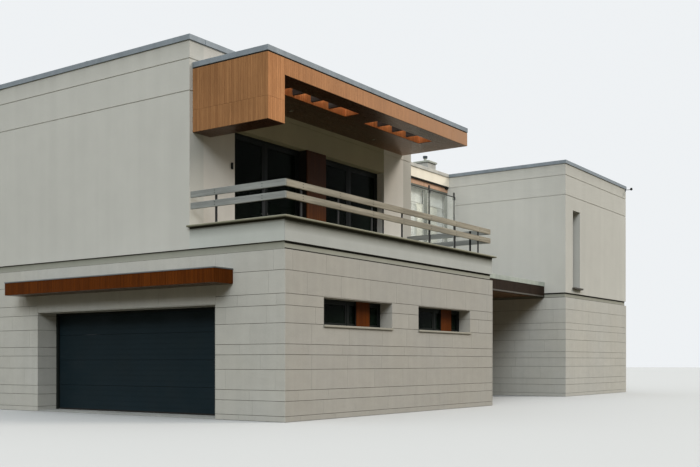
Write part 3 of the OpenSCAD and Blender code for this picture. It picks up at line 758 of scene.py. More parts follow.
def openings_in(wall, corner, across):
    """The ground storey's windows in a wall, in its own drawing, with their depth behind its face."""
    wall_low, wall_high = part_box(wall)
    out = across.cross(Z)
    found = []
    for low, high in frames:
        middle = (low + high) / 2
        if all(wall_low[k] < middle[k] < wall_high[k] for k in range(3)):
            ends = sorted(((low - corner).dot(across), (high - corner).dot(across)))
            depth = -max((low - corner).dot(out), (high - corner).dot(out))
            found.append((*ends, max(low.z, sill_z), high.z, depth))
    return found


# %% Tile the garage front
garage_x0, garage_y0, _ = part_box("front_wall_left")[0]
door_x0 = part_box("front_wall_left")[1].x
door_x1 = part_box("front_wall_right")[0].x
door_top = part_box("garage_lintel")[0].z
door_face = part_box("garage_door")[0].y
side_x = near_corner.x
garage_y1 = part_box("porch_side_wall")[1].y
link_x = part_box("entrance_wall")[1].x
wing_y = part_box("wing_ground_front")[0].y
wing_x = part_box("wing_ground_front")[1].x
rear_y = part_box("rear_ground_wall")[1].y
door_reveal = door_face - garage_y0 + tile_proud
door_wide = door_x1 - door_x0

stone = bmesh.new()
tile_wall(stone, Vector((garage_x0, garage_y0, 0.0)), X, door_x0 - garage_x0)
tile_wall(stone, Vector((door_x1, garage_y0, 0.0)), X, side_x + tile_proud - door_x1)
tile_face(stone, (door_x0, garage_y0, 0.0), X, Z, door_wide, clipped(courses[-2:], door_top, band_low))
jamb_lines = clipped(courses, 0.0, door_top)
tile_face(stone, (door_x0, garage_y0 - tile_proud, 0.0), Y, Z, door_reveal, jamb_lines)
tile_face(stone, (door_x1, door_face, 0.0), -Y, Z, door_reveal, jamb_lines)
tile_face(stone, (door_x0, door_face, door_top), X, -Y, door_wide, [0.0, door_reveal])
finish_piece("front_stone", stone, wall_stone)

# %% Tile the other walls
side_corner = Vector((side_x, garage_y0, 0.0))
porch_corner = Vector((side_x, garage_y1, 0.0))
entry_corner = Vector((link_x, garage_y1, 0.0))
wing_corner = Vector((link_x, wing_y, 0.0))
wing_side_corner = Vector((wing_x, wing_y, 0.0))
rear_corner = Vector((wing_x, rear_y, 0.0))
end_corner = Vector((garage_x0, rear_y, 0.0))
entry_low, entry_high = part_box("entrance_door")
doorway = (entry_low.y - garage_y1, entry_high.y - garage_y1, 0.0, entry_high.z, link_x - entry_high.x)
side_windows = openings_in("side_wall", side_corner, Y)
rear_windows = openings_in("rear_ground_wall", rear_corner, -X)
end_windows = openings_in("end_ground_wall", end_corner, -Y)
stone_pieces = {
    "side_stone": (warm_stone_painted_shade, [(side_corner, Y, garage_y1 + tile_proud - garage_y0, side_windows)]),
    "porch_stone_painted_shade": (porch_stone_painted_shade, [(porch_corner, -X, side_x - link_x),
                                  (entry_corner, Y, wing_y - garage_y1, [doorway])]),
    "wing_stone": (wall_stone, [(wing_corner, X, wing_x + tile_proud - link_x),
                                (wing_side_corner, Y, rear_y + tile_proud - wing_y)]),
    "rear_stone": (wall_stone, [(rear_corner, -X, wing_x - garage_x0 + tile_proud, rear_windows),
                                (end_corner, -Y, rear_y - garage_y0 + tile_proud, end_windows)])}
for name, (finish, walls) in stone_pieces.items():
    stone = bmesh.new()
    for wall in walls:
        tile_wall(stone, *wall)
    finish_piece(name, stone, finish)

# %% [markdown]
# ## Batten cladding
#
# The canopies, the pier between the terrace doors and the small panels are clad in upright battens about six
# centimetres wide. They come as boards of thirteen or so, and the joints between those are a little wider.
# The solid behind them is painted dark, as painted shade, which is what the eye sees between real battens.

# %% Battens
batten_proud = 0.008
batten_gap = 0.0025
board_gap = 0.007
batten_arris = 0.001


def batten_face(bm, corner, across, up, width, height, board=0.79, batten=0.061):
    """Clads one face with battens that run up it, in boards of about the given width."""
    boards = max(1, round(width / board))
    board_width = width / boards
    count = max(1, round(board_width / batten))
    pitch = board_width / count
    slabs = []
    for number in range(boards * count):
        left = batten_gap if number % count else board_gap
        right = batten_gap if (number + 1) % count else board_gap
        slabs.append((number * pitch + left / 2, (number + 1) * pitch - right / 2, 0.0, height))
    lay(bm, face_place(corner, across, up), slabs, batten_proud, batten_arris)


def batten_piece(name, material, faces):
    """A piece of battens. A face is a corner, the directions across and up it, a width and a height and,
    where they aren't the usual ones, the widths of a board and of a batten."""
    battens = bmesh.new()
    for face in faces:
        batten_face(battens, *face)
    finish_piece(name, battens, material)


def side_face(low, high, *widths):
    """The face of a box that looks along X, with the widths of its boards and battens."""
    return ((high.x, low.y, low.z), Y, Z, high.y - low.y, high.z - low.z, *widths)


# %% Clad the terrace canopy
canopy_x0 = leg_low.x
canopy_x1 = leg_high.x
canopy_wide = canopy_x1 - canopy_x0
# Painted shadow: the battens stop this far below the coping, so a line of the dark solid shows under it.
under_coping_shadow = 0.022
body_face = body_high.z - under_coping_shadow - body_low.z
leg_board = 0.975
leg_front = canopy_x1 + batten_proud - canopy_x0
leg_thick = leg_high.y - leg_low.y
upper_board = 0.85
leg_joint = leg_high.z - upper_board
above_joint = upper_board - under_coping_shadow
below_joint = leg_joint - batten_gap - leg_low.z
# Painted shade on the front faces and painted light on the side faces: they carry different copies of one wood.
batten_piece("canopy_front_battens", front_battens_painted_shade, [
    (leg_low, X, Z, leg_front, below_joint, leg_board),
    ((canopy_x0, leg_low.y, leg_joint), X, Z, leg_front, above_joint, leg_board),
    ((canopy_x1, body_high.y, body_low.z), -X, Z, canopy_wide, body_face),
    ((canopy_x1, leg_high.y, leg_low.z), -X, Z, canopy_wide, body_low.z - leg_low.z)])
batten_piece("canopy_side_battens", side_battens_painted_light, [
    ((canopy_x1, leg_low.y, leg_low.z), Y, Z, leg_thick, below_joint, leg_thick),
    ((canopy_x1, leg_low.y, leg_joint), Y, Z, leg_thick, above_joint, leg_thick),
    ((canopy_x1, body_low.y, body_low.z), Y, Z, body_high.y + batten_proud - body_low.y, body_face)])

# %% [markdown]
# Two slots in the canopy let daylight through. The fins that cross them are solids already, so their boxes
# give the width of the slots and, with one gap more before the first fin and after the last, their ends. The
# walls of the slots are clad too, in a bright copy of the wood as painted light, and the soffit is laid in
# long boards, dark as painted shade, that stop at the slots.

# %% Clad the slots
fins = solids("canopy_fins")
slot_x0 = fins[0][0].x
slot_x1 = fins[0][1].x
fins_in_slot = 3
fin_rows = sorted(low.y for low, high in fins)
fin_step = fin_rows[1] - fin_rows[0]
fin_thick = fins[0][1].y - fins[0][0].y
slot_ends = []
for first in fin_rows[::fins_in_slot]:
    start = first - (fin_step - fin_thick)
    slot_ends.append((start, start + (fins_in_slot + 1) * fin_step - fin_thick))

slot_wide = slot_x1 - slot_x0
slot_height = body_high.z - body_low.z
slot_faces = []
for start, end in slot_ends:
    slot_faces += [((slot_x0, start, body_low.z), Y, Z, end - start, slot_height),
                   ((slot_x1, end, body_low.z), -Y, Z, end - start, slot_height),
                   ((slot_x1, start, body_low.z), -X, Z, slot_wide, slot_height),
                   ((slot_x0, end, body_low.z), X, Z, slot_wide, slot_height)]
batten_piece("slot_battens_painted_light", slot_battens_painted_light, slot_faces)
print("slots at", [tuple(round(v, 2) for v in ends) for ends in slot_ends])

# %% Lay the soffit
soffit_proud = 0.006
soffit_board = 0.130
rows = round(canopy_wide / soffit_board)
row_width = canopy_wide / rows
slot_left = slot_x0 - canopy_x0
slot_right = slot_x1 - canopy_x0
slabs = []
for row in range(rows):
    low = row * row_width + batten_gap / 2
    high = (row + 1) * row_width - batten_gap / 2
    beside = low < slot_right and high > slot_left
    holes = [(a - body_low.y, b - body_low.y) for a, b in slot_ends] if beside else []
    for left, right in free_spans(body_high.y - body_low.y, holes):
        slabs.append((left + batten_gap, right - batten_gap, low, high))
    for start, end in holes:
        for bottom, top in ((low, min(high, slot_left)), (max(low, slot_right), high)):
            if top - bottom > 0.01:
                slabs.append((start, end, bottom, top))
boards = bmesh.new()
soffit = face_place((canopy_x0, body_low.y, body_low.z), Y, X)
lay(boards, soffit, sorted(slabs), soffit_proud, batten_arris)
leg_rows = [(0.0, leg_thick, k * row_width, (k + 1) * row_width - batten_gap) for k in range(rows)]
lay(boards, face_place(leg_low, Y, X), leg_rows, soffit_proud, batten_arris)
finish_piece("canopy_soffit", boards, soffit_boards_painted_shade_and_light)

# %% Clad the garage canopy
garage_low, garage_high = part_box("garage_canopy")
fascia = garage_high.z - garage_low.z
fascia_board = 1.28
garage_batten = 0.108
depth = garage_high.y - garage_low.y
batten_piece("garage_canopy_battens", shaded_battens, [
    (garage_low, X, Z, garage_high.x + batten_proud - garage_low.x, fascia, fascia_board),
    ((garage_high.x, garage_low.y, garage_low.z), Y, Z, depth, fascia, depth),
    ((garage_low.x, garage_high.y, garage_low.z), -Y, Z, depth + batten_proud, fascia, depth)])
batten_piece("garage_canopy_soffit", soffit_boards_painted_shade_and_light, [
    (garage_low, Y, X, depth, garage_high.x - garage_low.x, depth, garage_batten)])

# %% Clad the pier and the small panels
panels = solids("wood_panels")
pier_low, pier_high = max(panels, key=lambda box: box[1].z - box[0].z)
link_panel = max(panels, key=lambda box: box[1].y - box[0].y)
tall = pier_high.z - deck_high.z
pier_width = pier_high.y - pier_low.y
pier_out = pier_high.x - wall_corner.x
pier_end = pier_out + batten_proud
batten_piece("pier_battens", red_battens_painted_shade, [
    ((pier_high.x, pier_low.y, deck_high.z), Y, Z, pier_width, tall, pier_width),
    ((wall_corner.x, pier_low.y, deck_high.z), X, Z, pier_end, tall, pier_out),
    ((pier_high.x + batten_proud, pier_high.y, deck_high.z), -X, Z, pier_end, tall, pier_out)])
batten_piece("window_panel_battens", shaded_battens,
             [side_face(low, high, high.y - low.y) for low, high in panels if high.z < band_low])
batten_piece("link_panel_battens", pale_battens, [side_face(*link_panel)])
print("panels clad:", len(panels))

# %% Clad the entrance canopy and door
porch_low, porch_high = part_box("entrance_canopy")
porch_long = porch_high.y - porch_low.y
porch_drip_height = 0.050
porch_boards_z = porch_low.z + porch_drip_height
porch_lip = 0.065
porch_board = 1.18
porch_batten = 0.1312
door_board = 1.3
door_batten = 0.10
batten_piece("entrance_battens", dark_battens, [
    ((porch_high.x, porch_low.y, porch_boards_z), Y, Z, porch_long,
     porch_high.z - porch_low.z - porch_drip_height, porch_board),
    side_face(entry_low, entry_high, door_board, door_batten)])
batten_piece("entrance_soffit", soffit_boards_painted_shade_and_light, [
    ((porch_low.x, porch_low.y, porch_boards_z), Y, X, porch_long, porch_high.x - porch_low.x - porch_lip,
     porch_board, porch_batten)])

# %% [markdown]
# ## Terrace paving
#
# Square stone tiles on the terrace, laid from the front parapet with a narrow joint. The same laying function
# serves, with the face turned up.

# %% Lay the terrace tiles
paving_tile = 0.60
paving_joint = 0.005
paving_proud = 0.008
paving_arris = 0.002
deck_wide = deck_high.x - deck_low.x
deck_long = deck_high.y - deck_low.y
slabs = []
for i in range(math.ceil(deck_wide / paving_tile)):
    for j in range(math.ceil(deck_long / paving_tile)):
        right = min((i + 1) * paving_tile, deck_wide)
        back = min((j + 1) * paving_tile, deck_long)
        slabs.append((i * paving_tile + paving_joint, right, j * paving_tile + paving_joint, back))
tiles = bmesh.new()
lay(tiles, face_place((deck_low.x, deck_low.y, deck_high.z), X, Y), slabs, paving_proud, paving_arris)
finish_piece("terrace_tiles", tiles, floor_stone)

# %% [markdown]
# ## Softened solids
#
# Folded sheet, sawn boards and stone slabs never end in a knife edge. These solids have the right shape
# already, so each is copied, its loose triangles are merged, its edges are eased by a few millimetres, and
# the copy stands in for the node. A light catches on the eased edge, which is what makes a coping read as
# metal. A node whose solids differ in finish is copied in parts, each picked by a test on a solid's box.

# %% Softened copies
canopy_roof_above = band_high + 1.0


def soften(name, node, material, offset, keep=None):
    """A copy of a node's solids with eased edges. Keep picks some of its solids by their boxes."""
    bm = merged_copy(node)
    if keep is not None:
        dropped = [v for verts in islands(bm) if not keep(*box_of(verts)) for v in verts]
        bmesh.ops.delete(bm, geom=dropped, context="VERTS")
    tone = bm.faces.layers.float.new("tone")
    for verts in islands(bm):
        shade = chance.random()
        for vert in verts:
            for face in vert.link_faces:
                face[tone] = shade
    ease(bm, sharp_edges(bm), offset, 2)
    made = finish_piece(name, bm, material)
    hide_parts(node)


def apart_from(test):
    """The opposite of a test on a box."""
    return lambda low, high: not test(low, high)


def runs_along_y(low, high):
    """True for a solid that is longer from front to back than from left to right."""
    return high.y - low.y > high.x - low.x


def over_link(low, high):
    """True for the coping length that lies over the link's glazed front."""
    return low.x < link_x < high.x and low.y > garage_y1 and high.y < wing_y + 0.1


def on_ground_storey(low, high):
    """True for a solid that ends below the band between the storeys."""
    return high.z < band_low


soften("coping_sheet", "roof_coping", zinc, 0.006, apart_from(over_link))
soften("link_coping_sheet", "roof_coping", bright_sheet, 0.006, over_link)
soften("terrace_coping_slabs", "terrace_coping", coping_stone, 0.005)
soften("side_rail_boards", "rail_boards", grey_boards_y_warm_painted_light, 0.004, runs_along_y)
soften("cross_rail_boards", "rail_boards", grey_boards_x_cool_painted_light, 0.004, apart_from(runs_along_y))
soften("railing_posts", "rail_posts", post_paint, 0.002)
soften("slot_fins", "canopy_fins", fin_boards_painted_shade, 0.004)
soften("canopy_roof_edge", "small_roofs", zinc, 0.006,
       lambda low, high: high.z > canopy_roof_above)
soften("garage_roof_sheet", "small_roofs", dull_sheet, 0.003, on_ground_storey)
soften("entrance_roof_edge", "small_roofs", pale_sheet, 0.006,
       lambda low, high: band_low < high.z < canopy_roof_above)
soften("screen_uprights", "screen_posts", steel_paint, 0.002)
soften("pale_sills", "window_sills", pale_sill, 0.003, on_ground_storey)
soften("dark_sills", "window_sills", sill_paint, 0.003, apart_from(on_ground_storey))

# %% Nosing of the wing's sill
nosing_past = 0.045
nosing_out = 0.105
slot_sills = [(low, high) for low, high in sills
              if low.z > band_low and high.x > wing_x and high.y < rear_y - 0.5]
box_piece("slot_sill_nosing", sill_paint, 0.004,
          [((wing_x + 0.002, low.y - nosing_past, low.z - 0.012),
            (wing_x + nosing_out, high.y + nosing_past, high.z + 0.004)) for low, high in slot_sills])

# %% [markdown]
# ## Sashes
#
# Behind each fixed frame is a sash that holds the glass. It is a box as large as the pane whose two faces are
# inset and cut out, and whose inner rims are then bridged, so it comes out as one closed ring. The leaves of
# the terrace doors have wider ones.

# %% Sashes
sash_width = 0.048
sash_depth = 0.052
door_sash = 1.5


def add_sash(bm, low, high, width):
    """A closed ring round one pane."""
    thin = min(range(2), key=lambda axis: high[axis] - low[axis])
    size = high - low
    size[thin] = sash_depth
    place = Matrix.Translation((low + high) / 2) @ Matrix.Diagonal((*size, 1.0))
    verts = bmesh.ops.create_cube(bm, size=1.0, matrix=place)["verts"]
    faces = list(dict.fromkeys(f for v in verts for f in v.link_faces))
    big = [f for f in faces if abs(f.normal[thin]) > 0.9 or len({round(v.co[thin], 5) for v in f.verts}) == 1]
    bmesh.ops.inset_individual(bm, faces=big, thickness=width, depth=0.0, use_even_offset=True)
    rims = [e for f in big for e in f.edges]
    bmesh.ops.delete(bm, geom=big, context="FACES_ONLY")
    bmesh.ops.bridge_loops(bm, edges=rims)


def is_in_link(low, high):
    """True for a pane or a frame of the link's tall glazing."""
    return abs((low.x + high.x) / 2 - link_x) < 0.3 and garage_y1 < (low.y + high.y) / 2 < wing_y


def make_sashes(name, boxes, material):
    """Sashes for these panes, as one piece."""
    sashes = bmesh.new()
    for low, high in boxes:
        is_door = low.z < band_high + 0.2 and high.z - low.z > 2.0
        add_sash(sashes, low, high, sash_width * (door_sash if is_door else 1.0))
    bmesh.ops.recalc_face_normals(sashes, faces=sashes.faces)
    ease(sashes, sharp_edges(sashes), 0.003, 1)
    finish_piece(name, sashes, material)


link_panes = [box for box in panes if is_in_link(*box)]
make_sashes("link_sashes", link_panes, link_paint)
make_sashes("window_sashes", [box for box in panes if not is_in_link(*box)], frame_paint)
print("sashes:", len(panes), "of which in the link:", len(link_panes))

# %% [markdown]
# The frames and panes are copies of the solids with eased edges. The link's frames are a paler grey-green and
# its panes clearer than those of the rooms, so the copy is made in two parts, each with its own finish.

# %% Frames and panes
soften("link_frames", "window_frames", link_paint, 0.004, is_in_link)
soften("room_frames", "window_frames", frame_paint, 0.004, apart_from(is_in_link))
soften("link_panes", "window_glass", link_glazing, 0.001, is_in_link)
soften("room_panes", "window_glass", dark_glazing, 0.001, apart_from(is_in_link))

# %% [markdown]
# Pale blinds and sheer curtains hang behind the link's glazing, on two rods that run from wall to wall. A
# curtain is one flat cut that hangs in even folds: a grid whose vertices are pushed in and out in a wave,
# then given a thickness. Cloth neither stretches nor shrinks, so the width of the cut is the way along the
# wave. It is worked out from the area of the grid and printed for each sheet. The rods are thin round bars
# with a flange on each wall, and the top of the cloth hangs at the height of their axis.

# %% Curtain rods
rod_radius = 0.013
flange_radius = 0.03
flange_thick = 0.008
blind_x = link_panes[0][0].x - 0.05
sheer_x = blind_x - 0.06
blind_top = link_panes[0][1].z - 0.52
sheer_top = link_panes[0][1].z - 0.02
rod_low, rod_high = next(box for box in frames if is_in_link(*box))
rods = bmesh.new()
for x, z in ((blind_x, blind_top), (sheer_x, sheer_top)):
    for y0, y1, radius in ((rod_low.y, rod_high.y, rod_radius),
                           (rod_low.y, rod_low.y + flange_thick, flange_radius),
                           (rod_high.y - flange_thick, rod_high.y, flange_radius)):
        place = Matrix.Translation((x, (y0 + y1) / 2, z)) @ Matrix.Rotation(math.pi / 2, 4, "X")
        bmesh.ops.create_cone(rods, cap_ends=True, cap_tris=False, segments=16, radius1=radius,
                              radius2=radius, depth=y1 - y0, matrix=place)
finish_piece("curtain_rods", rods, bright_sheet)
print("curtain rods:", round(rod_high.y - rod_low.y, 3), "m long")

# %% Blinds and curtains of the link
above_sill = 0.02
beside_sash = 0.02
blind_wave = 0.008
blind_folds = 5
sheer_wave = 0.012
sheer_folds = 12
wide_blind = (0.10, 0.62)
narrow_blind = (0.66, 0.97)


def hang(name, x, y0, y1, z0, z1, wave, folds, cloth):
    """A hanging sheet of cloth with even folds; the size of its flat cut is printed."""
    bm = bmesh.new()
    place = Matrix.Translation((x, (y0 + y1) / 2, (z0 + z1) / 2)) @ Matrix.Rotation(math.pi / 2, 4, "Y")
    place = place @ Matrix.Diagonal(((z1 - z0) / 2, (y1 - y0) / 2, 1.0, 1.0))
    bmesh.ops.create_grid(bm, x_segments=1, y_segments=folds * 8, size=1.0, matrix=place)
    for vert in bm.verts:
        share = (vert.co.y - y0) / (y1 - y0)
        vert.co.x += wave * math.sin(share * folds * 2 * math.pi)
    drop = z1 - z0
    cut = (sum(face.calc_area() for face in bm.faces) / drop, drop)
    bmesh.ops.solidify(bm, geom=bm.faces[:], thickness=0.002)
    made = finish_piece(name, bm, cloth)
    print(name, "is cut to", [round(side, 3) for side in cut])


for number, (low, high) in enumerate(link_panes):
    wide = high.y - low.y
    first, last = narrow_blind if number % 2 else wide_blind
    hang(f"link_blind_{number + 1}", blind_x, low.y + first * wide, low.y + last * wide, low.z + above_sill,
         blind_top, blind_wave, blind_folds, cream_cloth)
    hang(f"link_sheer_{number + 1}", sheer_x, low.y + beside_sash, high.y - beside_sash, low.z + above_sill,
         sheer_top, sheer_wave, sheer_folds, grey_cloth)

# %% [markdown]
# ## Small trims
#
# The recessed band between the storeys has dark strips at its head and foot: the one at its head, under the
# overhang, is painted shadow, and the one at its foot is a dark joint, drawn wider on the sides as painted
# shade. The garage doorway has a slim dark frame in front of the sections and a seal at its foot, and the
# porch canopy a drip along its lower edge. They are boxes with eased edges, placed from the pieces that they
# finish.

# %% Band joints
band_x0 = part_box("floor_slabs")[0].x
front_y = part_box("floor_slabs")[0].y
back_set = front_y - garage_y0
inset_x = side_x - back_set
wing_inset_x = wing_x - back_set
wing_inset_y = wing_y + back_set
rear_inset_y = rear_y - back_set
face_out = 0.004
# Painted shadow: each run gives the height of the dark strip at the band's head, which stands for the shade
# under the overhang, and of the joint at its foot, widened on the sides as painted shade.
band_runs = [
    ((band_x0, front_y), (inset_x, front_y), -Y, 0.012, 0.008),
    ((inset_x, front_y), (inset_x, garage_y1 - back_set), X, 0.042, 0.028),
    ((link_x, wing_inset_y), (wing_inset_x, wing_inset_y), -Y, 0.042, 0.014),
    ((wing_inset_x, wing_inset_y), (wing_inset_x, rear_inset_y), X, 0.042, 0.014),
    ((band_x0, rear_inset_y), (wing_inset_x, rear_inset_y), Y, 0.030, 0.014),
    ((band_x0, front_y), (band_x0, rear_inset_y), -X, 0.030, 0.014)]
band_strips = []
for start, end, out, top_strip_height, foot_strip_height in band_runs:
    for z0, z1 in ((band_low, band_low + foot_strip_height), (band_high - top_strip_height, band_high)):
        along = (Vector((*end, 0.0)) - Vector((*start, 0.0))).normalized()
        corners = [Vector((*start, z0)), Vector((*end, z1)) + out * face_out + along * face_out]
        band_strips.append([[pick(c[k] for c in corners) for k in range(3)] for pick in (min, max)])
box_piece("band_painted_shadows_and_joints", shadow_gap, 0.001, band_strips)
print("band joints at", round(band_low, 3), round(band_high, 3))

# %% Drips, painted shadow strips, door frame and seal
shadow_strip_out = 0.006
shadow_strip_y = parapet_low.y - shadow_strip_out
# Painted shadow: dark strips under the coping slabs stand for the shade under their overhang.
box_piece("parapet_painted_shadow", painted_shadow_stone, 0.001, [
    ((parapet_low.x, shadow_strip_y, slab_low - 0.030), (parapet_high.x, parapet_low.y, slab_low)),
    ((parapet_high.x, shadow_strip_y, slab_low - 0.042), (parapet_high.x + shadow_strip_out, parapet_high.y, slab_low))])

jamb_width = 0.085
jamb_front = door_face - 0.050
inner_left = door_x0 + jamb_width
inner_right = door_x1 - jamb_width
box_piece("garage_door_frame", frame_paint, 0.004, [
    ((door_x0 + tile_proud, jamb_front, 0.0), (inner_left, door_face, door_top)),
    ((inner_right, jamb_front, 0.0), (door_x1 - tile_proud, door_face, door_top)),
    ((inner_left, jamb_front, door_top - 0.06), (inner_right, door_face, door_top - tile_proud))])
box_piece("garage_door_seal", shadow_gap, 0.006, [
    ((inner_left, door_face - 0.022, 0.030), (inner_right, door_face - 0.001, 0.062))])
box_piece("porch_drip", drip_sheet, 0.003, [
    ((porch_high.x - 0.060, porch_low.y, porch_low.z),
     (porch_high.x + 0.012, porch_high.y, porch_low.z + porch_drip_height - 0.004))])
panel_low, panel_high = link_panel
# Painted shadow: a dark strip under the link's fascia stands for the shade under it.
box_piece("link_painted_shadow", shadow_gap, 0.004, [
    ((panel_high.x + 0.001, panel_low.y, panel_high.z - 0.055),
     (panel_high.x + 0.050, panel_high.y, panel_high.z))])

# %% [markdown]
# ## Fittings
#
# A round fitting is a short cylinder whose rim is inset and pushed in, so it has a collar and a sunk lens.
# The soffit lamps, the wall lamp, the wing's flood lamp and the door handles are each a few such shapes,
# small but part of what makes the house read at its true size.

# %% Round fittings


def add_round(bm, middle, axis, radius, length, collar=0.0, sunk=0.0):
    """A round bar centred on middle. Its front face may get a collar and a sunk lens."""
    place = Matrix.Translation(middle) @ axis.to_track_quat("Z", "Y").to_matrix().to_4x4()
    verts = bmesh.ops.create_cone(bm, cap_ends=True, segments=24, radius1=radius, radius2=radius,
                                  depth=length, matrix=place)["verts"]
    if collar:
        bm.normal_update()
        faces = dict.fromkeys(f for v in verts for f in v.link_faces)
        front = [f for f in faces if f.normal.dot(axis) > 0.9]
        bmesh.ops.inset_region(bm, faces=front, thickness=collar, depth=0.0)
        bmesh.ops.translate(bm, verts=front[0].verts, vec=-axis * sunk)


# %% Soffit lamps
canopy_lamp = (0.052, 0.010, 0.040)
porch_lamp = (0.060, 0.012, 0.046)
lamp_thick = 0.016
lamp_sunk = 0.012
lens_thick = 0.006
spots = []
for share in (0.289, 0.733):
    lamp_y = body_low.y + share * (body_high.y - body_low.y)
    spots.append(((canopy_x0 + 0.40, lamp_y, body_low.z - soffit_proud), canopy_lamp))
for share in (0.2, 0.5, 0.8):
    lamp_y = garage_y1 + share * (wing_y - garage_y1)
    spots.append((((link_x + porch_high.x) / 2 + 0.2, lamp_y, porch_boards_z - batten_proud), porch_lamp))
lamps = bmesh.new()
lenses = bmesh.new()
for spot, (radius, collar, lens_radius) in spots:
    add_round(lamps, spot, -Z, radius, lamp_thick, collar, lamp_sunk)
    add_round(lenses, spot, -Z, lens_radius, lens_thick)
finish_piece("soffit_lamps", lamps, steel_paint)
finish_piece("soffit_lamp_lenses", lenses, lamp_glass)

# %% Wall lamp, flood lamp and link lamp
wall_face = wall_corner.x
door_frames = sorted((box for box in frames if box[1].z - box[0].z > 2.6 and box[1].x > wall_face - 0.3),
                     key=lambda box: box[0].y)[:2]
lamp_y = door_frames[0][0].y - 0.10
lamp_z = 5.185
arm_z = wall_top - 0.03
flood_towards = Vector((0.35, -1.0, -0.25)).normalized()
fitting = bmesh.new()
add_box(fitting, (wall_face, lamp_y - 0.022, lamp_z), (wall_face + 0.036, lamp_y + 0.022, lamp_z + 0.13), 0.006)
add_round(fitting, (wall_face + 0.019, lamp_y, lamp_z - 0.001), -Z, 0.015, 0.012, 0.004, 0.005)
add_box(fitting, (wing_x, rear_y - 0.09, arm_z - 0.05), (wing_x + 0.012, rear_y - 0.02, arm_z + 0.05), 0.003)
add_round(fitting, (wing_x + 0.10, rear_y - 0.055, arm_z), X, 0.011, 0.20)
add_round(fitting, (wing_x + 0.235, rear_y - 0.075, arm_z + 0.012), flood_towards, 0.047, 0.13, 0.008, 0.015)
add_box(fitting, (link_x - 0.058, wing_y - 0.20, panel_high.z - 0.10),
        (link_x - 0.008, wing_y - 0.06, panel_high.z), 0.008)
finish_piece("wall_fittings", fitting, frame_paint)

# %% Handles
handle_height = 1.02
handle_from_meeting = 0.075
grip_height = 1.05
grip_half = 0.45
handles = bmesh.new()
for low, high in door_frames:
    meet = (low.y + high.y) / 2
    for side in (-1, 1):
        spot = Vector((high.x, meet + side * handle_from_meeting, low.z + handle_height))
        add_box(handles, spot - Vector((0.0, 0.014, 0.055)), spot + Vector((0.010, 0.014, 0.055)), 0.003)
        add_round(handles, spot + Vector((0.028, 0.0, 0.0)), X, 0.009, 0.045)
        add_round(handles, spot + Vector((0.048, side * 0.055, 0.0)), Y, 0.009, 0.13)
grip = Vector((entry_high.x + batten_proud, entry_high.y - 0.12, entry_low.z + grip_height))
for rise in (-grip_half, grip_half):
    add_round(handles, grip + Vector((0.03, 0.0, rise)), X, 0.010, 0.06)
add_round(handles, grip + Vector((0.06, 0.0, 0.0)), Z, 0.015, 1.10)
finish_piece("door_handles", handles, steel_paint)

# %% [markdown]
# The railing posts stand on small plates and hold the boards with a pair of bolts at each crossing, and a
# slim stay stands behind the side boards. The glass screen is held to its uprights by clamps. All of these
# repeat, so each has few faces.

# %% Post plates, bolts and stay
plate_half = 0.045
plate_thick = 0.008
bolt_out = 0.041
stay_y = garage_y0 + 3.44
stay_top = slab_high + 0.715
plates = bmesh.new()
board_rows = sorted({(round(low.z, 4), round(high.z, 4)) for low, high in solids("rail_boards")})
for low, high in solids("rail_posts"):
    middle = (low + high) / 2
    add_box(plates, (middle.x - plate_half, middle.y - plate_half, slab_high),
            (middle.x + plate_half, middle.y + plate_half, slab_high + plate_thick), 0.002)
    faces_side = runs_along_y(low, high)
    outward = X if faces_side else (-Y if middle.y < garage_y0 + 1.0 else Y)
    for z0, z1 in board_rows:
        for rise in (0.3, 0.7):
            spot = Vector((middle.x, middle.y, z0 + rise * (z1 - z0)))
            head = spot + outward * (bolt_out + (high - low)[0 if faces_side else 1] / 2)
            add_round(plates, head, outward, 0.009, 0.006)
add_box(plates, (side_x - 0.075, stay_y - 0.012, slab_high), (side_x - 0.050, stay_y + 0.012, stay_top), 0.003)
finish_piece("rail_fixings", plates, post_paint)

# %% Clamps of the glass screen
screens = solids("screen_glass")
clamp_half = 0.03
clamps = bmesh.new()
for low, high in screens:
    add_box(clamps, (low.x - 0.003, low.y, high.z - 0.012), (high.x + 0.003, high.y, high.z + 0.010), 0.002)
for low, high in solids("screen_posts"):
    for z in (low.z + 0.25, low.z + 1.15, screens[0][1].z - 0.05):
        add_box(clamps, (low.x - 0.004, low.y - 0.028, z - clamp_half),
                (high.x + 0.034, low.y + 0.014, z + clamp_half), 0.004)
finish_piece("screen_clamps", clamps, post_paint)

# %% [markdown]
# ## Roofs
#
# The flat roofs are covered with grey bitumen sheet. It comes in strips a metre wide, each lapped over the
# last, is turned up against the parapets and falls to round gullies. The canopies have sheet-metal roofs,
# whose bays are joined by standing seams. A long coping is made of lengths too, and a narrow cover hides
# each joint.

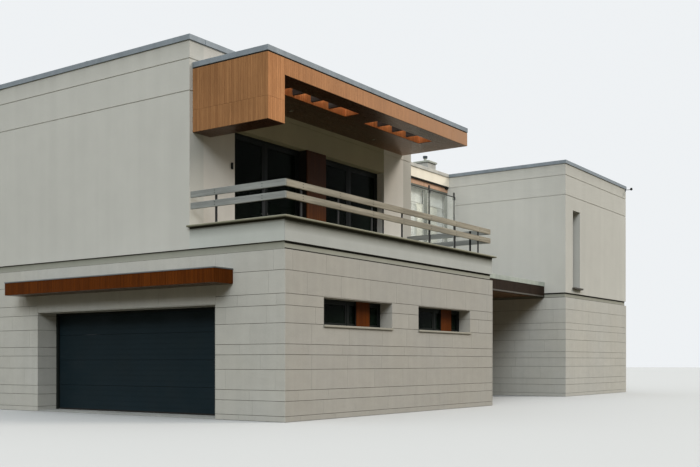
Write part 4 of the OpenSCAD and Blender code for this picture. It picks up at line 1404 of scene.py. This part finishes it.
# %% Bitumen sheet on the main roof
roof_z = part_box("roof_slabs")[1].z
turned_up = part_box("roof_coping")[0].z - roof_z
inner_x0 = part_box("end_upper_wall")[1].x
inner_x1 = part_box("terrace_wall_lintel")[0].x
inner_x2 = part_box("link_wall")[0].x
inner_x3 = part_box("wing_upper_side")[0].x
inner_y0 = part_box("upper_front_wall")[1].y
inner_y1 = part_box("upper_return_wall")[0].y
inner_y2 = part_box("wing_upper_front")[1].y
inner_y3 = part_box("rear_upper_wall")[0].y
outline = [(inner_x0, inner_y0), (inner_x1, inner_y0), (inner_x1, inner_y1), (inner_x2, inner_y1),
           (inner_x2, inner_y2), (inner_x3, inner_y2), (inner_x3, inner_y3), (inner_x0, inner_y3)]
strip_width = 1.06
lap_width = 0.06
sheet_thick = 0.005
sheet_arris = 0.002
gully_x = inner_x0 + 1.2
felt = bmesh.new()
for (ax, ay), (bx, by) in zip(outline, outline[1:] + outline[:1]):
    start = Vector((bx, by, roof_z))
    run = Vector((ax, ay, roof_z)) - start
    bays = max(1, round(run.length / strip_width))
    bay = run.length / bays
    upstands = [(k * bay + 0.001, (k + 1) * bay - 0.001, 0.0, turned_up) for k in range(bays)]
    lay(felt, face_place(start, run.normalized(), Z), upstands, sheet_thick, sheet_arris)
lap_y = inner_y0 + strip_width
while lap_y < inner_y3 - lap_width:
    right = inner_x1 if lap_y < inner_y1 else inner_x2 if lap_y < inner_y2 else inner_x3
    lap = [(0.0, right - inner_x0, 0.0, lap_width)]
    lay(felt, face_place((inner_x0, lap_y, roof_z), X, Y), lap, sheet_thick, sheet_arris)
    lap_y += strip_width
for gully_y in (inner_y0 + 5.4, inner_y2 + 2.0):
    add_round(felt, (gully_x, gully_y, roof_z + 0.012), Z, 0.16, 0.024, 0.05, 0.020)
finish_piece("roof_felt", felt, roof_sheet)

# %% Seams of the canopy roofs
seam_high = 0.025
seam_half = 0.006
bay_width = 0.53
garage_roof, entrance_roof, canopy_roof = sorted(solids("small_roofs"), key=lambda box: box[1].z)
seams = []
low, high = canopy_roof
edge = high.x - 0.06
bays = round((high.y - low.y) / bay_width)
for number in range(1, bays):
    y = low.y + number * (high.y - low.y) / bays
    crosses = any(start < y < end for start, end in slot_ends)
    for left, right in ((wall_face, slot_x0), (slot_x1, edge)) if crosses else ((wall_face, edge),):
        seams.append(((left + 0.02, y - seam_half, high.z), (right - 0.02, y + seam_half, high.z + seam_high)))
low, high = garage_roof
bays = round((high.x - low.x) / bay_width)
for number in range(1, bays):
    x = low.x + number * (high.x - low.x) / bays
    seams.append(((x - seam_half, low.y + 0.15, high.z), (x + seam_half, high.y, high.z + seam_high / 2)))
box_piece("roof_seams", zinc, 0.002, seams)

# %% Bitumen sheet on the entrance roof
low, high = entrance_roof
kerb = 0.10
strips = round((high.y - low.y) / strip_width)
strip = (high.y - low.y) / strips
felt = bmesh.new()
for k in range(strips):
    over_next = lap_width if k + 1 < strips else 0.0
    slab = (0.0, high.x - kerb - low.x, k * strip, (k + 1) * strip + over_next)
    lay(felt, face_place((low.x, low.y, high.z), X, Y), [slab], sheet_thick * (1 + k % 2), sheet_arris)
finish_piece("entrance_felt", felt, roof_sheet)

# %% Covers over the coping joints
coping_length = 3.0
cover_width = 0.060
cover_thick = 0.002
covers = {True: [], False: []}
for low, high in solids("roof_coping"):
    along = 1 if runs_along_y(low, high) else 0
    lengths = max(1, round((high[along] - low[along]) / coping_length))
    step = (high[along] - low[along]) / lengths
    for number in range(1, lengths):
        first = low - Vector((cover_thick, cover_thick, 0.0))
        last = high + Vector((cover_thick, cover_thick, cover_thick))
        first[along] = low[along] + number * step - cover_width / 2
        last[along] = first[along] + cover_width
        covers[over_link(low, high)].append((first, last))
box_piece("coping_covers", zinc, 0.001, covers[False])
box_piece("link_coping_covers", bright_sheet, 0.001, covers[True])

# %% [markdown]
# ## Finishes of the solids
#
# What is left of the frame keeps its shape and takes a finish: plaster above, with painted light and shade on
# some faces, mortar behind the stone, dark paint behind the battens as painted shade, and so on. A node's
# material is set, and its mesh is left as it is.

# %% Give the solids their finishes
solid_finishes = [
    (upper_plaster, ["upper_front_wall", "upper_return_wall", "wing_upper_front", "wing_upper_side",
                     "rear_upper_wall", "end_upper_wall", "chimney_stack"]),
    (joint_mortar, ["front_wall_left", "front_wall_right", "garage_lintel", "side_wall", "porch_side_wall",
                    "entrance_wall", "wing_ground_front", "wing_ground_side", "rear_ground_wall",
                    "end_ground_wall", "terrace_paving"]),
    (shadow_gap, ["canopy_body", "canopy_leg", "garage_canopy", "entrance_canopy", "entrance_door",
                  "wood_panels"]),
    (pier_plaster_painted_light, ["terrace_wall_piers"]),
    (lintel_plaster_painted_shade, ["terrace_wall_lintel"]),
    (cream_plaster, ["link_wall"]),
    (parapet_plaster, ["terrace_parapet"]),
    (band_plaster, ["floor_slabs"]),
    (plain_concrete, ["ground_slabs"]),
    (roof_sheet, ["roof_slabs"]),
    (door_paint, ["garage_door"]),
    (clear_glazing, ["screen_glass"]),
    (cap_finish, ["chimney_cap"])]
for finish, names in solid_finishes:
    for name in names:
        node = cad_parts[name]
        for slot in node.material_slots:
            slot.material = finish
        if not node.material_slots:
            node.data.materials.append(finish)
print("solids finished:", sum(len(names) for finish, names in solid_finishes))

# %% [markdown]
# ## Studio floor
#
# A wide pale floor carries the house and its soft shadow. It is pale to the camera but returns a little less
# light than it shows, so the undersides of the canopies stay as deep as they are in life.

# %% Floor
floor_half = 180.0
floor_z = -0.002
floor_mesh = bpy.data.meshes.new("studio_floor")
flat = bmesh.new()
bmesh.ops.create_grid(flat, x_segments=1, y_segments=1, size=floor_half,
                      matrix=Matrix.Translation((0.0, 0.0, floor_z)))
flat.to_mesh(floor_mesh)
flat.free()
floor = bpy.data.objects.new("studio_floor", floor_mesh)
bpy.context.scene.collection.objects.link(floor)
floor_finish, tree, shader = start_material("studio_floor", 0.9)
to_camera = add_node(tree, "LightPath", {}, "Is Camera Ray")
join(tree, blend(tree, to_camera, (0.105, 0.094, 0.060), (0.47, 0.47, 0.465)), shader.inputs["Base Color"])
floor_mesh.materials.append(floor_finish)
print("floor laid")
